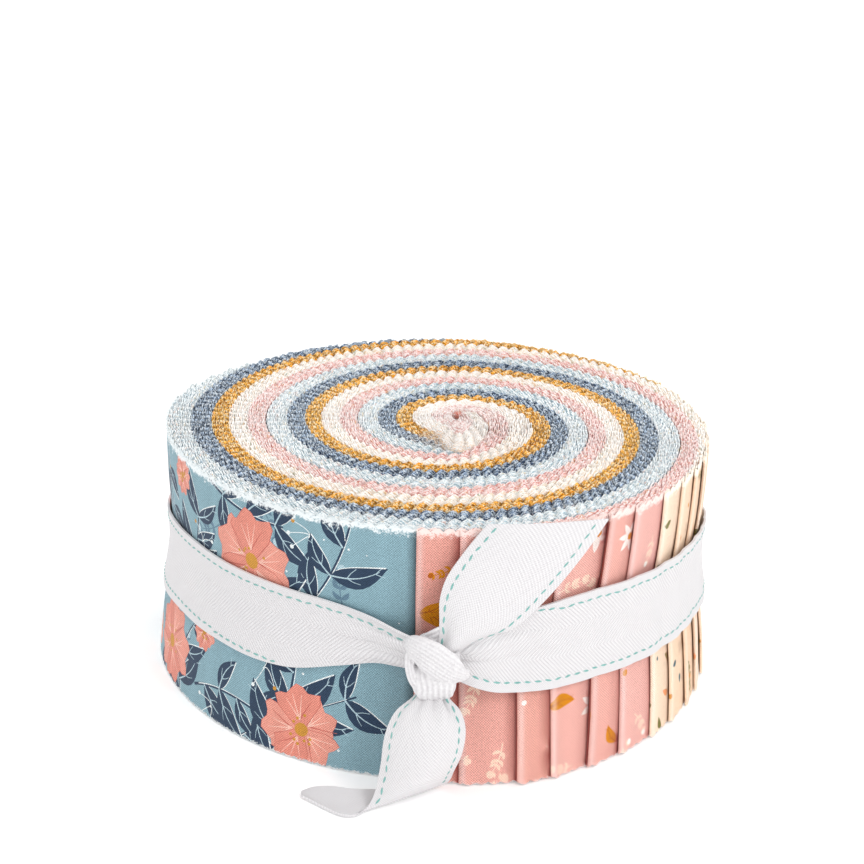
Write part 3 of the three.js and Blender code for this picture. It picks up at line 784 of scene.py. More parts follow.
class Fold:
    """The sheet of one strip that shows: its inner leg, nose and outer leg."""

    def __init__(self, j):
        self.j = j
        self.rng = np.random.default_rng(500 + j)
        self.at0 = fold_angle(j)
        self.lean0 = fold_lean(j)
        if j < 39:
            self.at1, self.lean1 = fold_angle(j + 1), fold_lean(j + 1)
        else:
            self.at1, self.lean1 = -6.5, fold_lean(0)
        r = float(radius((self.at0 + self.at1) / 2, 2 * j + 2))
        self.r = r
        self.length = math.radians(self.at1 - self.at0) * r + 3.0
        top = 0.57 - 0.125
        # The path in the horizontal plane: along the surface, and off it.
        swell = self.rng.uniform(0.34, 0.42)
        nose = [(5.0, 0.15), (2.0, 0.15), (0.75, 0.155), (0.35, 0.19), (0.1, 0.28), (0.0, 0.42), (0.06, 0.56), (0.25, 0.68)]
        a, h = [p[0] for p in nose], [p[1] for p in nose]
        out = np.concatenate([np.arange(0.5, 6, 0.25), np.arange(6, max(self.length, 6.6), 0.5)])
        bump = swell * np.exp(-(((out - 1.1) / 1.7) ** 2)) + 0.09 * np.exp(-(((out - 6.0) / 2.5) ** 2)) * self.rng.uniform(-0.6, 1)
        dip = 0.11 * ease((out - (self.length - 3.8)) / 1.2)
        a, h = np.array(a + list(out)), np.array(h + list(top + bump - dip))
        step = np.hypot(np.diff(a), np.diff(h))
        self.u = np.concatenate([[0], np.cumsum(step)])
        self.a, self.h = a, h
        self.u_nose = float(self.u[5])
        self.width = float(self.u[-1])

    def at(self, u, z):
        a = np.interp(u, self.u, self.a)
        h = np.interp(u, self.u, self.h)
        share = np.clip(a / self.length, 0, 1)
        lean = self.lean0 * (1 - share) + self.lean1 * share
        theta = self.at0 + np.degrees(a / self.r) + lean * (z / HEIGHT - 0.5) * 2
        # The strip is as thick here as the stack has room for.
        j2 = 2 * self.j
        base = radius(theta, j2, gaps=False)
        room = radius(theta, j2 + 2, gaps=False) - base
        seat = 0.16 if self.j == 0 else 0.0
        wave = 0.05 * np.sin(z / 9.0 + self.j) * np.clip(a / 3, 0, 1)
        r = base + h * room / 0.57 + seat + wave
        # The fold's nose is a little uneven up its height.
        r = r + 0.09 * np.exp(-((a / 1.5) ** 2)) * np.sin(z / 5.3 + 2.1 * self.j)
        return place(r, theta, z)

    def build(self):
        rng = self.rng
        u_end = self.width
        # Outline with pinked edges.
        shift = rng.uniform(0, PITCH)
        ticks = np.arange(-shift, u_end + PITCH, PITCH / 4)
        k = np.arange(len(ticks)) % 4
        keep = (ticks > 0.2) & (ticks < u_end - 0.2)
        ticks, k = ticks[keep], k[keep]
        drop = np.choose(k, [0.0, 0.34, 1.0, 0.34]) * 0.85
        zt = HEIGHT - drop + rng.uniform(-0.12, 0.08, len(k))
        zb = 0.05 + drop * 0.8 + rng.uniform(0, 0.12, len(k))
        cols = self.u[(self.u > 0.05) & (self.u < self.u_nose + 2.0)]
        cols = cols[np.min(np.abs(cols[:, None] - ticks[None]), axis=1) > 0.03]
        us = np.unique(np.concatenate([[0, u_end], ticks, cols]))
        top = np.interp(us, np.concatenate([[0], ticks, [u_end]]), np.concatenate([[HEIGHT - 0.7], zt, [HEIGHT - 0.7]]))
        low = np.interp(us, np.concatenate([[0], ticks, [u_end]]), np.concatenate([[0.7], zb, [0.7]]))
        # Rows of points up both ends, and inside: columns held in the nose, free ones elsewhere.
        rows = np.array([3.2, 7, 11, 15, 19, 23, 27, 31, 35, 39, 43, 47, 51, 55, 59, 61.0])
        n, up = len(us), len(rows)
        pts = ([(float(u), float(z)) for u, z in zip(us, low)] + [(float(us[-1]), float(z)) for z in rows]
               + [(float(u), float(z)) for u, z in zip(us[::-1], top[::-1])] + [(float(us[0]), float(z)) for z in rows[::-1]])
        faces = [list(range(len(pts)))]
        edges = []
        for c in cols:
            i = int(np.argmin(np.abs(us - c)))
            last = i
            for z in rows:
                pts.append((float(c), float(z)))
                edges.append((last, len(pts) - 1))
                last = len(pts) - 1
            edges.append((last, 2 * n + up - 1 - i))
        free = np.arange(self.u_nose + 2.6, u_end - 0.8, 2.6)
        for c in free:
            for z in rows:
                pts.append((float(c), float(z)))
        ground, motifs = prints_for(self.j, u_end + 4, rng)
        tones = [ground]
        for shape, tone in motifs:
            lo, hi = shape.min(0), shape.max(0)
            if hi[0] < 0.3 or lo[0] > u_end - 0.3 or hi[1] < 0 or lo[1] > HEIGHT:
                continue
            area = np.sum(shape[:, 0] * np.roll(shape[:, 1], -1) - np.roll(shape[:, 0], -1) * shape[:, 1])
            if abs(area) < 0.02:
                continue
            if area < 0:
                shape = shape[::-1]
            first = len(pts)
            pts += [(float(x), float(y)) for x, y in shape]
            faces.append(list(range(first, len(pts))))
            tones.append(np.asarray(tone, float))
        got = delaunay_2d_cdt([Vector(p) for p in pts], edges, faces, 1, 1e-4)
        verts = np.array([(v.x, v.y) for v in got[0]])
        tris, ink = [], []
        for tri, src in zip(got[2], got[5]):
            if 0 not in src:
                continue
            if len(tri) != 3:
                continue
            tris.append(tri)
            ink.append(max(src))
        tris, ink = np.array(tris), np.array(ink)
        # Drop slivers' vertices that nothing uses.
        used = np.unique(tris)
        remap = np.full(len(verts), -1)
        remap[used] = np.arange(len(used))
        verts, tris = verts[used], remap[tris]
        p = verts
        area = (p[tris[:, 1], 0] - p[tris[:, 0], 0]) * (p[tris[:, 2], 1] - p[tris[:, 0], 1]) - (p[tris[:, 2], 0] - p[tris[:, 0], 0]) * (p[tris[:, 1], 1] - p[tris[:, 0], 1])
        tris[area < 0] = tris[area < 0][:, ::-1]
        u, z = verts[:, 0], verts[:, 1]
        d = 0.02
        P = self.at(u, z)
        du = self.at(u + d, z) - self.at(u - d, z)
        dz = self.at(u, z + d) - self.at(u, z - d)
        normal = np.cross(du, dz)
        normal /= np.linalg.norm(normal, axis=1)[:, None]
        outer, inner = P + normal * 0.12, P - normal * 0.12
        m = len(verts)
        # Walls along the boundary.
        e = np.concatenate([tris[:, [0, 1]], tris[:, [1, 2]], tris[:, [2, 0]]])
        key = e[:, 0].astype(np.int64) * m + e[:, 1]
        back = e[:, 1].astype(np.int64) * m + e[:, 0]
        rim = e[~np.isin(key, back)]
        walls = np.concatenate([
            np.stack([rim[:, 1], rim[:, 0], rim[:, 0] + m], -1),
            np.stack([rim[:, 1], rim[:, 0] + m, rim[:, 1] + m], -1),
        ])
        all_tris = np.concatenate([tris, tris[:, ::-1] + m, walls])
        table = np.array([np.asarray(t, float) for t in tones])
        face_c = table[ink]
        # Corner colours: painted shade, darker and redder, in the crease under the next nose
        # and on the underside of this one, and a painted highlight, a touch lighter, along the nose.
        ua, za = u[tris], z[tris]
        a = np.interp(ua, self.u, self.a)
        theta_gap = (self.length - 3.0) - a
        theta_gap = np.clip(theta_gap, 0, None)
        wide = 0.24 if self.j < 39 else 0.16
        crease = 0.85 * np.exp(-((theta_gap / 0.75) ** 2)) + wide * np.exp(-((theta_gap / 2.6) ** 2))
        under = np.clip((self.u_nose - ua) / 0.5, 0, 1)
        shade = np.clip(np.maximum(crease, under), 0, 0.94)[..., None]
        # The tone of the painted shade in the creases and under the nose.
        if self.j < 8:
            crease_shade_tone = blend_of(ground * 0.30, linear((150, 52, 46)), 0.75)
        elif self.j < 16:
            crease_shade_tone = blend_of(ground * 0.28, linear((140, 84, 34)), 0.7)
        else:
            crease_shade_tone = ground * 0.3
        # Painted highlight along the nose.
        nose = (0.20 if self.j < 16 else 0.08) * np.exp(-(((ua - self.u_nose - 0.9) / 0.7) ** 2))[..., None]
        front = face_c[:, None, :] * (1 - nose) + nose
        front = front * (1 + 0.035 * np.sin(ua * 0.9 + self.j))[..., None]
        front = front * (1 - shade) + crease_shade_tone * shade
        pale = blend_of(ground, (1, 1, 1), 0.45)
        back_c = np.broadcast_to(pale, (len(tris), 3, 3))
        wall_c = np.broadcast_to(blend_of(ground, (1, 1, 1), 0.55), (len(walls), 3, 3))
        cols3 = np.concatenate([front, back_c, wall_c]).reshape(-1, 3)
        uv = np.concatenate([verts, verts])[all_tris].reshape(-1, 2)
        uv = uv + np.array([self.j * 137.31, 0])
        return np.concatenate([outer, inner]), all_tris, cols3, uv


def make_folds():
    made = {}
    for name, first, last in GROUPS:
        verts, faces, cols, uvs, count = [], [], [], [], 0
        for j in range(first // 2, last // 2):
            v, f, c, w = Fold(j).build()
            verts.append(v)
            faces.append(f + count)
            cols.append(c)
            uvs.append(w)
            count += len(v)
        made[name] = add_mesh("folds_" + name, np.concatenate(verts), np.concatenate(faces), np.concatenate(cols), np.concatenate(uvs), 0.9)
        print("folds", name, sum(len(f) for f in faces))
    return made


# ------------------------------------------------------------------ materials

def new_material(name):
    m = bpy.data.materials.new(name)
    m.use_nodes = True
    nt = m.node_tree
    for n in list(nt.nodes):
        nt.nodes.remove(n)
    out = nt.nodes.new("ShaderNodeOutputMaterial")
    bsdf = nt.nodes.new("ShaderNodeBsdfPrincipled")
    nt.links.new(bsdf.outputs[0], out.inputs["Surface"])
    return m, nt, bsdf


def node(nt, kind, **settings):
    n = nt.nodes.new(kind)
    for k, v in settings.items():
        if k.startswith("in_"):
            key = k[3:]
            n.inputs[int(key) if key.isdigit() else key.replace("_", " ")].default_value = v
        else:
            setattr(n, k, v)
    return n


def math_node(nt, op, a, b=None, clamp=False):
    n = node(nt, "ShaderNodeMath", operation=op, use_clamp=clamp)
    for i, v in enumerate((a, b)):
        if v is None:
            continue
        if isinstance(v, (int, float)):
            n.inputs[i].default_value = v
        else:
            nt.links.new(v, n.inputs[i])
    return n.outputs[0]


def mix_colour(nt, factor, a, b, mode="MIX"):
    n = node(nt, "ShaderNodeMix", data_type="RGBA", blend_type=mode)
    for socket, v in ((n.inputs[0], factor), (n.inputs[6], a), (n.inputs[7], b)):
        if isinstance(v, (int, float)):
            socket.default_value = v
        elif isinstance(v, (tuple, list, np.ndarray)):
            socket.default_value = tuple(float(x) for x in v) + (1.0,) * (4 - len(v))
        else:
            nt.links.new(v, socket)
    return n.outputs[2]


def weave(nt, thread):
    """A plain weave from the cloth's own flat coordinates, 0 to 1."""
    uv = node(nt, "ShaderNodeUVMap", uv_map="cloth")
    split = node(nt, "ShaderNodeSeparateXYZ")
    nt.links.new(uv.outputs[0], split.inputs[0])
    wobble = node(nt, "ShaderNodeTexNoise", in_Scale=0.5, in_Detail=2.0)
    nt.links.new(uv.outputs[0], wobble.inputs["Vector"])
    shift = math_node(nt, "MULTIPLY", wobble.outputs["Fac"], 3.0)
    k = 2 * math.pi / thread
    a = math_node(nt, "SINE", math_node(nt, "ADD", math_node(nt, "MULTIPLY", split.outputs[0], k), shift))
    b = math_node(nt, "SINE", math_node(nt, "ADD", math_node(nt, "MULTIPLY", split.outputs[1], k), shift))
    # Over and under: the product has a bump for each crossing.
    ab = math_node(nt, "MULTIPLY", a, b)
    return math_node(nt, "ADD", math_node(nt, "MULTIPLY", ab, 0.5), 0.5), uv


def ranged(nt, value, low, high, to_low=0.0, to_high=1.0, smooth=False):
    n = node(nt, "ShaderNodeMapRange", interpolation_type="SMOOTHSTEP" if smooth else "LINEAR")
    for socket, v in (("From Min", low), ("From Max", high), ("To Min", to_low), ("To Max", to_high)):
        n.inputs[socket].default_value = v
    nt.links.new(value, n.inputs["Value"])
    return n.outputs[0]


def cloth_material(name, thread, weave_depth, yarn_depth, edge=None, specks=None, rough=0.85):
    """edge is (height it starts at, height it is full at, colour, amount): the
    frayed white of a cut edge. specks is (dark tone, amount, pale tone, amount)."""
    m, nt, bsdf = new_material(name)
    paint = node(nt, "ShaderNodeAttribute", attribute_name="paint")
    wv, uv = weave(nt, thread)
    colour = paint.outputs["Color"]
    # Yarn: slubs run along both directions, some threads a little paler.
    scale = node(nt, "ShaderNodeVectorMath", operation="MULTIPLY")
    scale.inputs[1].default_value = (0.45, 4.0, 1.0)
    nt.links.new(uv.outputs[0], scale.inputs[0])
    slub = node(nt, "ShaderNodeTexNoise", in_Scale=1.0, in_Detail=3.0)
    nt.links.new(scale.outputs[0], slub.inputs["Vector"])
    scale2 = node(nt, "ShaderNodeVectorMath", operation="MULTIPLY")
    scale2.inputs[1].default_value = (4.0, 0.45, 1.0)
    nt.links.new(uv.outputs[0], scale2.inputs[0])
    slub2 = node(nt, "ShaderNodeTexNoise", in_Scale=1.0, in_Detail=3.0)
    nt.links.new(scale2.outputs[0], slub2.inputs["Vector"])
    yarn = math_node(nt, "ADD", slub.outputs["Fac"], slub2.outputs["Fac"])
    # The weave sets the colour too: painted shade between the crossings and a painted highlight on them. The slubs are
    # the yarn's own paler and darker threads.
    light = math_node(nt, "ADD", math_node(nt, "MULTIPLY", wv, weave_depth), math_node(nt, "MULTIPLY", yarn, yarn_depth))
    light = math_node(nt, "ADD", light, 1.0 - weave_depth / 2 - yarn_depth)
    if edge is not None:
        pepper = node(nt, "ShaderNodeTexNoise", in_Scale=2.6, in_Detail=2.0)
        nt.links.new(uv.outputs[0], pepper.inputs["Vector"])
        light = math_node(nt, "ADD", light, ranged(nt, pepper.outputs["Fac"], 0.3, 0.7, -0.17, 0.17))
    tone = node(nt, "ShaderNodeVectorMath", operation="SCALE")
    nt.links.new(colour, tone.inputs[0])
    nt.links.new(light, tone.inputs["Scale"])
    colour = tone.outputs[0]
    coords = node(nt, "ShaderNodeTexCoord")
    xyz = node(nt, "ShaderNodeSeparateXYZ")
    nt.links.new(coords.outputs["Object"], xyz.inputs[0])
    fuzz = node(nt, "ShaderNodeTexNoise", in_Scale=2300.0, in_Detail=2.0)
    nt.links.new(coords.outputs["Object"], fuzz.inputs["Vector"])
    if specks is not None:
        dark, dark_amount, pale, pale_amount = specks
        grain = node(nt, "ShaderNodeTexNoise", in_Scale=1.0, in_Detail=1.0)
        shifted = node(nt, "ShaderNodeVectorMath", operation="MULTIPLY_ADD")
        shifted.inputs[1].default_value = (2000.0, 950.0, 2000.0)
        shifted.inputs[2].default_value = (31.7, 12.3, 5.1)
        nt.links.new(coords.outputs["Object"], shifted.inputs[0])
        nt.links.new(shifted.outputs[0], grain.inputs["Vector"])
        light_grain = node(nt, "ShaderNodeTexNoise", in_Scale=1.0, in_Detail=1.0)
        drawn = node(nt, "ShaderNodeVectorMath", operation="MULTIPLY")
        drawn.inputs[1].default_value = (1900.0, 900.0, 1900.0)
        nt.links.new(coords.outputs["Object"], drawn.inputs[0])
        nt.links.new(drawn.outputs[0], light_grain.inputs["Vector"])
        f = ranged(nt, grain.outputs["Fac"], 0.41, 0.47, dark_amount, 0.0)
        colour = mix_colour(nt, f, colour, linear(dark))
        lift = ranged(nt, xyz.outputs[2], 0.0618, 0.0636, 0.25, 1.0, True)
        f = math_node(nt, "MULTIPLY", lift, ranged(nt, light_grain.outputs["Fac"], 0.53, 0.585, 0.0, pale_amount))
        colour = mix_colour(nt, f, colour, linear(pale))
    if edge is not None:
        low, high, edge_tone, amount = edge
        rough_z = math_node(nt, "ADD", xyz.outputs[2], math_node(nt, "MULTIPLY", fuzz.outputs["Fac"], 0.0030))
        clump = node(nt, "ShaderNodeTexNoise", in_Scale=700.0, in_Detail=2.0)
        nt.links.new(coords.outputs["Object"], clump.inputs["Vector"])
        high_z = math_node(nt, "ADD", rough_z, math_node(nt, "MULTIPLY", clump.outputs["Fac"], 0.0034))
        f = ranged(nt, high_z, low + 0.0032, high + 0.0030, 0.0, amount, True)
        colour = mix_colour(nt, f, colour, linear(edge_tone))
        f = ranged(nt, rough_z, 0.0015 + 0.0007, 0.0015, 0.0, amount * 0.8, True)
        colour = mix_colour(nt, f, colour, linear(edge_tone))
    nt.links.new(colour, bsdf.inputs["Base Color"])
    bsdf.inputs["Roughness"].default_value = rough
    bsdf.inputs["Specular IOR Level"].default_value = 0.2
    bsdf.inputs["Sheen Weight"].default_value = 0.12
    bsdf.inputs["Sheen Roughness"].default_value = 0.5
    bump = node(nt, "ShaderNodeBump", in_Strength=0.35, in_Distance=0.00012)
    nt.links.new(math_node(nt, "ADD", wv, yarn), bump.inputs["Height"])
    nt.links.new(bump.outputs[0], bsdf.inputs["Normal"])
    return m


# ----------------------------------------------------------- light and floor

def make_stage():
    scene = bpy.context.scene
    scene.view_settings.view_transform = "Standard"
    world = bpy.data.worlds.new("studio")
    world.use_nodes = True
    bg = world.node_tree.nodes["Background"]
    bg.inputs[0].default_value = (1, 1, 1, 1)
    bg.inputs[1].default_value = 1.0
    scene.world = world

    def lamp(name, place_, size, energy, aim=(0, 0, 0.03)):
        data = bpy.data.lights.new(name, "AREA")
        data.shape, data.size, data.energy = "DISK", size, energy
        ob = bpy.data.objects.new(name, data)
        ob.location = place_
        ob.rotation_euler = (Vector(aim) - Vector(place_)).to_track_quat("-Z", "Y").to_euler()
        scene.collection.objects.link(ob)

    lamp("key", (0.55, -0.6, 0.7), 0.4, 2.6)
    lamp("top", (-0.3, 0.1, 0.9), 0.5, 0.9)

    me = bpy.data.meshes.new("floor")
    verts = [(-4, -4, 0), (4, -4, 0), (4, 4, 0), (-4, 4, 0)]
    me.from_pydata(verts, [], [(0, 1, 2, 3)])
    floor = bpy.data.objects.new("floor", me)
    floor.location.z = -0.0002
    scene.collection.objects.link(floor)
    m, nt, bsdf = new_material("floor_paper")
    noise = node(nt, "ShaderNodeTexNoise", in_Scale=40.0)
    ramp = mix_colour(nt, noise.outputs["Fac"], (0.93, 0.93, 0.93), (0.96, 0.96, 0.96))
    nt.links.new(ramp, bsdf.inputs["Base Color"])
    bsdf.inputs["Roughness"].default_value = 0.9
    bsdf.inputs["Emission Color"].default_value = (1, 1, 1, 1)
    bsdf.inputs["Emission Strength"].default_value = 0.18
    me.materials.append(m)


# -------------------------------------------------------------------- the tape

TAPE_WIDE, TAPE_THICK = 22.0, 0.55


def under_tape(at, z, extra=0.0):
    """The tape's inner face on the roll: it spans the creases between folds."""
    r = np.full(np.shape(at), 0.0)
    for d in np.arange(-7, 7.01, 0.5):
        w = -366.5 + np.mod(np.asarray(at + d, float) + 366.5, 360)
        near = np.min(np.abs(w[..., None] - 0.7 - FOLD_AT), axis=-1)
        r = np.maximum(r, outermost(w) + 0.50 * np.exp(-((near / 3.0) ** 2)) - 0.012 * d * d)
    return place(r + 0.14 + extra, at - TWIST * (z / HEIGHT - 0.5), z)


def smooth_rows(rows, n, across):
    """A surface through sections, each a list of points, on an even grid."""
    rows = np.asarray(rows, float)
    step = np.linalg.norm(np.diff(rows[:, rows.shape[1] // 2], axis=0), axis=1)
    t = np.concatenate([[0], np.cumsum(np.maximum(step, 0.3))])
    def run(points, t, at):
        m = np.zeros_like(points)
        m[1:-1] = (points[2:] - points[:-2]) / (t[2:] - t[:-2])[:, None]
        m[0] = (points[1] - points[0]) / (t[1] - t[0])
        m[-1] = (points[-1] - points[-2]) / (t[-1] - t[-2])
        i = np.clip(np.searchsorted(t, at, side="right") - 1, 0, len(t) - 2)
        h = (t[i + 1] - t[i])[:, None]
        x = ((at - t[i]) / (t[i + 1] - t[i]))[:, None]
        return ((2 * x**3 - 3 * x**2 + 1) * points[i] + (x**3 - 2 * x**2 + x) * h * m[i]
                + (3 * x**2 - 2 * x**3) * points[i + 1] + (x**3 - x**2) * h * m[i + 1])
    along = np.linspace(0, t[-1], n)
    lines = np.stack([run(rows[:, k], t, along) for k in range(rows.shape[1])], 1)
    s = np.linspace(0, 1, rows.shape[1])
    at = np.linspace(0, 1, across)
    grid = np.stack([run(line, s, at) for line in lines])
    return grid, along


def sheet_from(points, thick, side=0.5):
    """A closed slab on a grid of points (rows along, columns across)."""
    rows, cols = points.shape[:2]
    du = np.gradient(points, axis=0)
    dv = np.gradient(points, axis=1)
    normal = np.cross(du, dv)
    normal /= np.linalg.norm(normal, axis=2)[..., None] + 1e-12
    low = points + normal * (side - 1) * thick
    high = points + normal * side * thick
    verts = np.concatenate([low.reshape(-1, 3), high.reshape(-1, 3)])
    half = rows * cols
    i = np.arange(rows - 1)[:, None] * cols + np.arange(cols - 1)[None]
    i = i.ravel()
    up = np.stack([i, i + cols, i + cols + 1, i + 1], -1) + half
    down = np.stack([i, i + 1, i + cols + 1, i + cols], -1)
    r = np.arange(rows - 1) * cols
    left = np.stack([r, r + cols, r + cols + half, r + half], -1)
    q = r + cols - 1
    right = np.stack([q + half, q + half + cols, q + cols, q], -1)
    c = np.arange(cols - 1)
    start = np.stack([c, c + half, c + half + 1, c + 1], -1)
    d = c + (rows - 1) * cols
    stop = np.stack([d + 1, d + half + 1, d + half, d], -1)
    return verts, np.concatenate([up, down, left, right, start, stop]), high, normal


class Tape:
    """Gathers the tape's stretches, and the stitches that run along them."""

    def __init__(self):
        self.verts, self.faces, self.uvs, self.count = [], [], [], 0
        self.sides = []
        self.sv, self.sf, self.scount = [], [], 0

    def stretch(self, points, along, across, side=0.5, back=0):
        """points: the grid; along and across: the tape's own coordinates on it."""
        verts, faces, high, normal = sheet_from(points, TAPE_THICK, side)
        uv = np.stack(np.broadcast_arrays(along, across), -1).reshape(-1, 2)
        uv = np.concatenate([uv, uv])
        self.verts.append(verts)
        self.faces.append(faces + self.count)
        self.uvs.append(uv[faces].reshape(-1, 2))
        self.sides.append(np.full(len(faces), back, np.int32))
        self.count += len(verts)
        return high, normal

    def stitches(self, high, normal, along, across, line, phase=0.0, first=None, last=None, up=1):
        """Short raised threads on the line where across equals line."""
        rows, cols = high.shape[:2]
        a2, c2 = np.broadcast_arrays(along, across)
        path, nrm, run = [], [], []
        for i in range(rows):
            c = c2[i]
            order = np.argsort(c)
            if line < c.min() + 0.2 or line > c.max() - 0.2:
                continue
            j = np.interp(line, c[order], np.arange(cols)[order])
            k = min(int(j), cols - 2)
            f = j - k
            path.append(high[i, k] * (1 - f) + high[i, k + 1] * f)
            nrm.append(normal[i, k] * (1 - f) + normal[i, k + 1] * f)
            run.append(float(a2[i, k]))
        if len(path) < 3:
            return
        path, nrm = np.array(path), np.array(nrm)
        step = np.linalg.norm(np.diff(path, axis=0), axis=1)
        s = np.concatenate([[0], np.cumsum(step)])
        rng = np.random.default_rng(int(abs(line) * 100) + len(path))
        x = phase + 0.4
        while x < s[-1] - 2.0:
            length = rng.uniform(1.5, 1.8)
            ts = np.linspace(x, x + length, 4)
            p = np.stack([np.interp(ts, s, path[:, k]) for k in range(3)], -1)
            n = np.stack([np.interp(ts, s, nrm[:, k]) for k in range(3)], -1)
            n /= np.linalg.norm(n, axis=1)[:, None]
            d = p[-1] - p[0]
            d /= np.linalg.norm(d)
            b = np.cross(d, n)
            b /= np.linalg.norm(b, axis=1)[:, None]
            tilt = rng.uniform(-0.12, 0.12)
            ring = []
            for q, w in zip(range(4), (0.35, 1.0, 1.0, 0.35)):
                c = p[q] + b[q] * tilt * (q - 1.5)
                for ang in np.linspace(0, 2 * math.pi, 7)[:-1]:
                    ring.append(c + b[q] * 0.24 * w * math.cos(ang) + n[q] * up * (0.02 + 0.15 * w * math.sin(ang)))
            ring = np.array(ring)
            faces = []
            for q in range(3):
                for k in range(6):
                    faces.append([q * 6 + k, q * 6 + (k + 1) % 6, (q + 1) * 6 + (k + 1) % 6, (q + 1) * 6 + k])
            faces += [[0, 5, 4, 1], [1, 4, 3, 2], [18, 19, 22, 23], [19, 20, 21, 22]]
            self.sv.append(ring)
            self.sf.append(np.array(faces) + self.scount)
            self.scount += len(ring)
            x += 2.62 + rng.uniform(-0.1, 0.1)


def band_part(tape):
    n, across = 420, 25
    first, last = -361.5, -3.5
    at = np.linspace(first, last, n)[:, None]
    mid_z, wide = through(BAND, at, 1), through(BAND, at, 2)
    t = np.linspace(-0.5, 0.5, across)[None]
    z = mid_z + wide * t
    left = ease((at + 34) / 28)      # gathered towards the knot, from the left
    right = ease((-332 - at) / 24)   # and from the right
    near = np.maximum(ease((at + 16) / 13), ease((-345 - at) / 13))
    extra = 3.4 * near
    # Where the tape narrows, its spare width folds under one edge.
    v_left, v_right, v_mid = TAPE_WIDE / 2 - wide * (0.5 - t), -TAPE_WIDE / 2 + wide * (0.5 + t), t * TAPE_WIDE
    v = np.where(at > -180, v_left, v_right)
    v = np.where(np.abs(wide - TAPE_WIDE) < 0.6, v_mid, v)
    ripple = (0.34 * left * np.cos(2 * math.pi * (0.5 - t) * 2.2 + 0.6) + 0.10 * left * np.cos(2 * math.pi * t * 6.1)
              + 0.42 * right * np.cos(2 * math.pi * (0.5 - t) * 1.6 + 2.4) + 0.10 * right * np.cos(2 * math.pi * t * 5.3))
    # The folded edge rolls in.
    roll_in = -1.1 * left * ease((-0.36 - t) / 0.14) - 1.1 * right * ease((t - 0.36) / 0.14)
    # A light wave along the tape, and its edges follow the folds a little.
    wave = 0.10 * (1 + np.sin(np.radians(at) * 9.0)) * np.abs(t) * 2 + 0.05 * (1 + np.sin(np.radians(at) * 23 + 3 * t))
    points = under_tape(at, z, extra + np.abs(ripple) + ripple + roll_in * near + wave + 0.12)
    run = np.concatenate([[0], np.cumsum(np.linalg.norm(np.diff(points[:, across // 2], axis=0), axis=1))])[:, None]
    # The grid runs towards +angle with z rising across, so its normal is outwards.
    high, normal = tape.stretch(points, run, v, 1.0)
    for line in (8.9, -8.9):
        tape.stitches(high, normal, run, v, line, 0.7 if line > 0 else 1.6)


UPPER_TAIL = [
    [(-1.4, -74.6, 34.4), (0.0, -75.4, 34.8), (1.2, -75.6, 34.6), (2.2, -75.2, 34.0), (3.0, -74.4, 33.2)],
    [(1.0, -75.4, 38.6), (2.6, -76.4, 38.4), (4.2, -77.2, 37.6), (5.6, -76.4, 36.4), (6.6, -75.2, 35.6)],
    [(1.0, -74.6, 43.2), (3.4, -75.4, 42.2), (6.2, -76.2, 40.4), (8.6, -75.0, 38.6), (10.6, -73.4, 37.4)],
    [(0.9, -73.4, 48.0), (4.6, -74.0, 46.4), (9.0, -74.4, 43.8), (13.2, -72.8, 41.4), (17.4, -70.8, 39.6)],
    [(2.3, -72.2, 53.0), (7.2, -72.4, 51.0), (12.8, -72.0, 48.4), (18.4, -70.2, 46.0), (23.4, -68.0, 44.2)],
    [(5.6, -71.2, 58.2), (10.8, -71.0, 56.6), (17.0, -70.0, 54.6), (23.6, -68.0, 52.6), (29.4, -65.2, 50.8)],
    [(8.8, -70.4, 62.4), (14.8, -69.8, 61.4), (21.4, -68.2, 60.2), (28.4, -65.6, 59.0), (35.0, -61.8, 57.6)],
    [(11.2, -69.6, 65.2), (17.6, -68.6, 65.0), (24.8, -66.6, 64.6), (32.2, -63.4, 64.0), (39.0, -59.6, 63.2)],
]
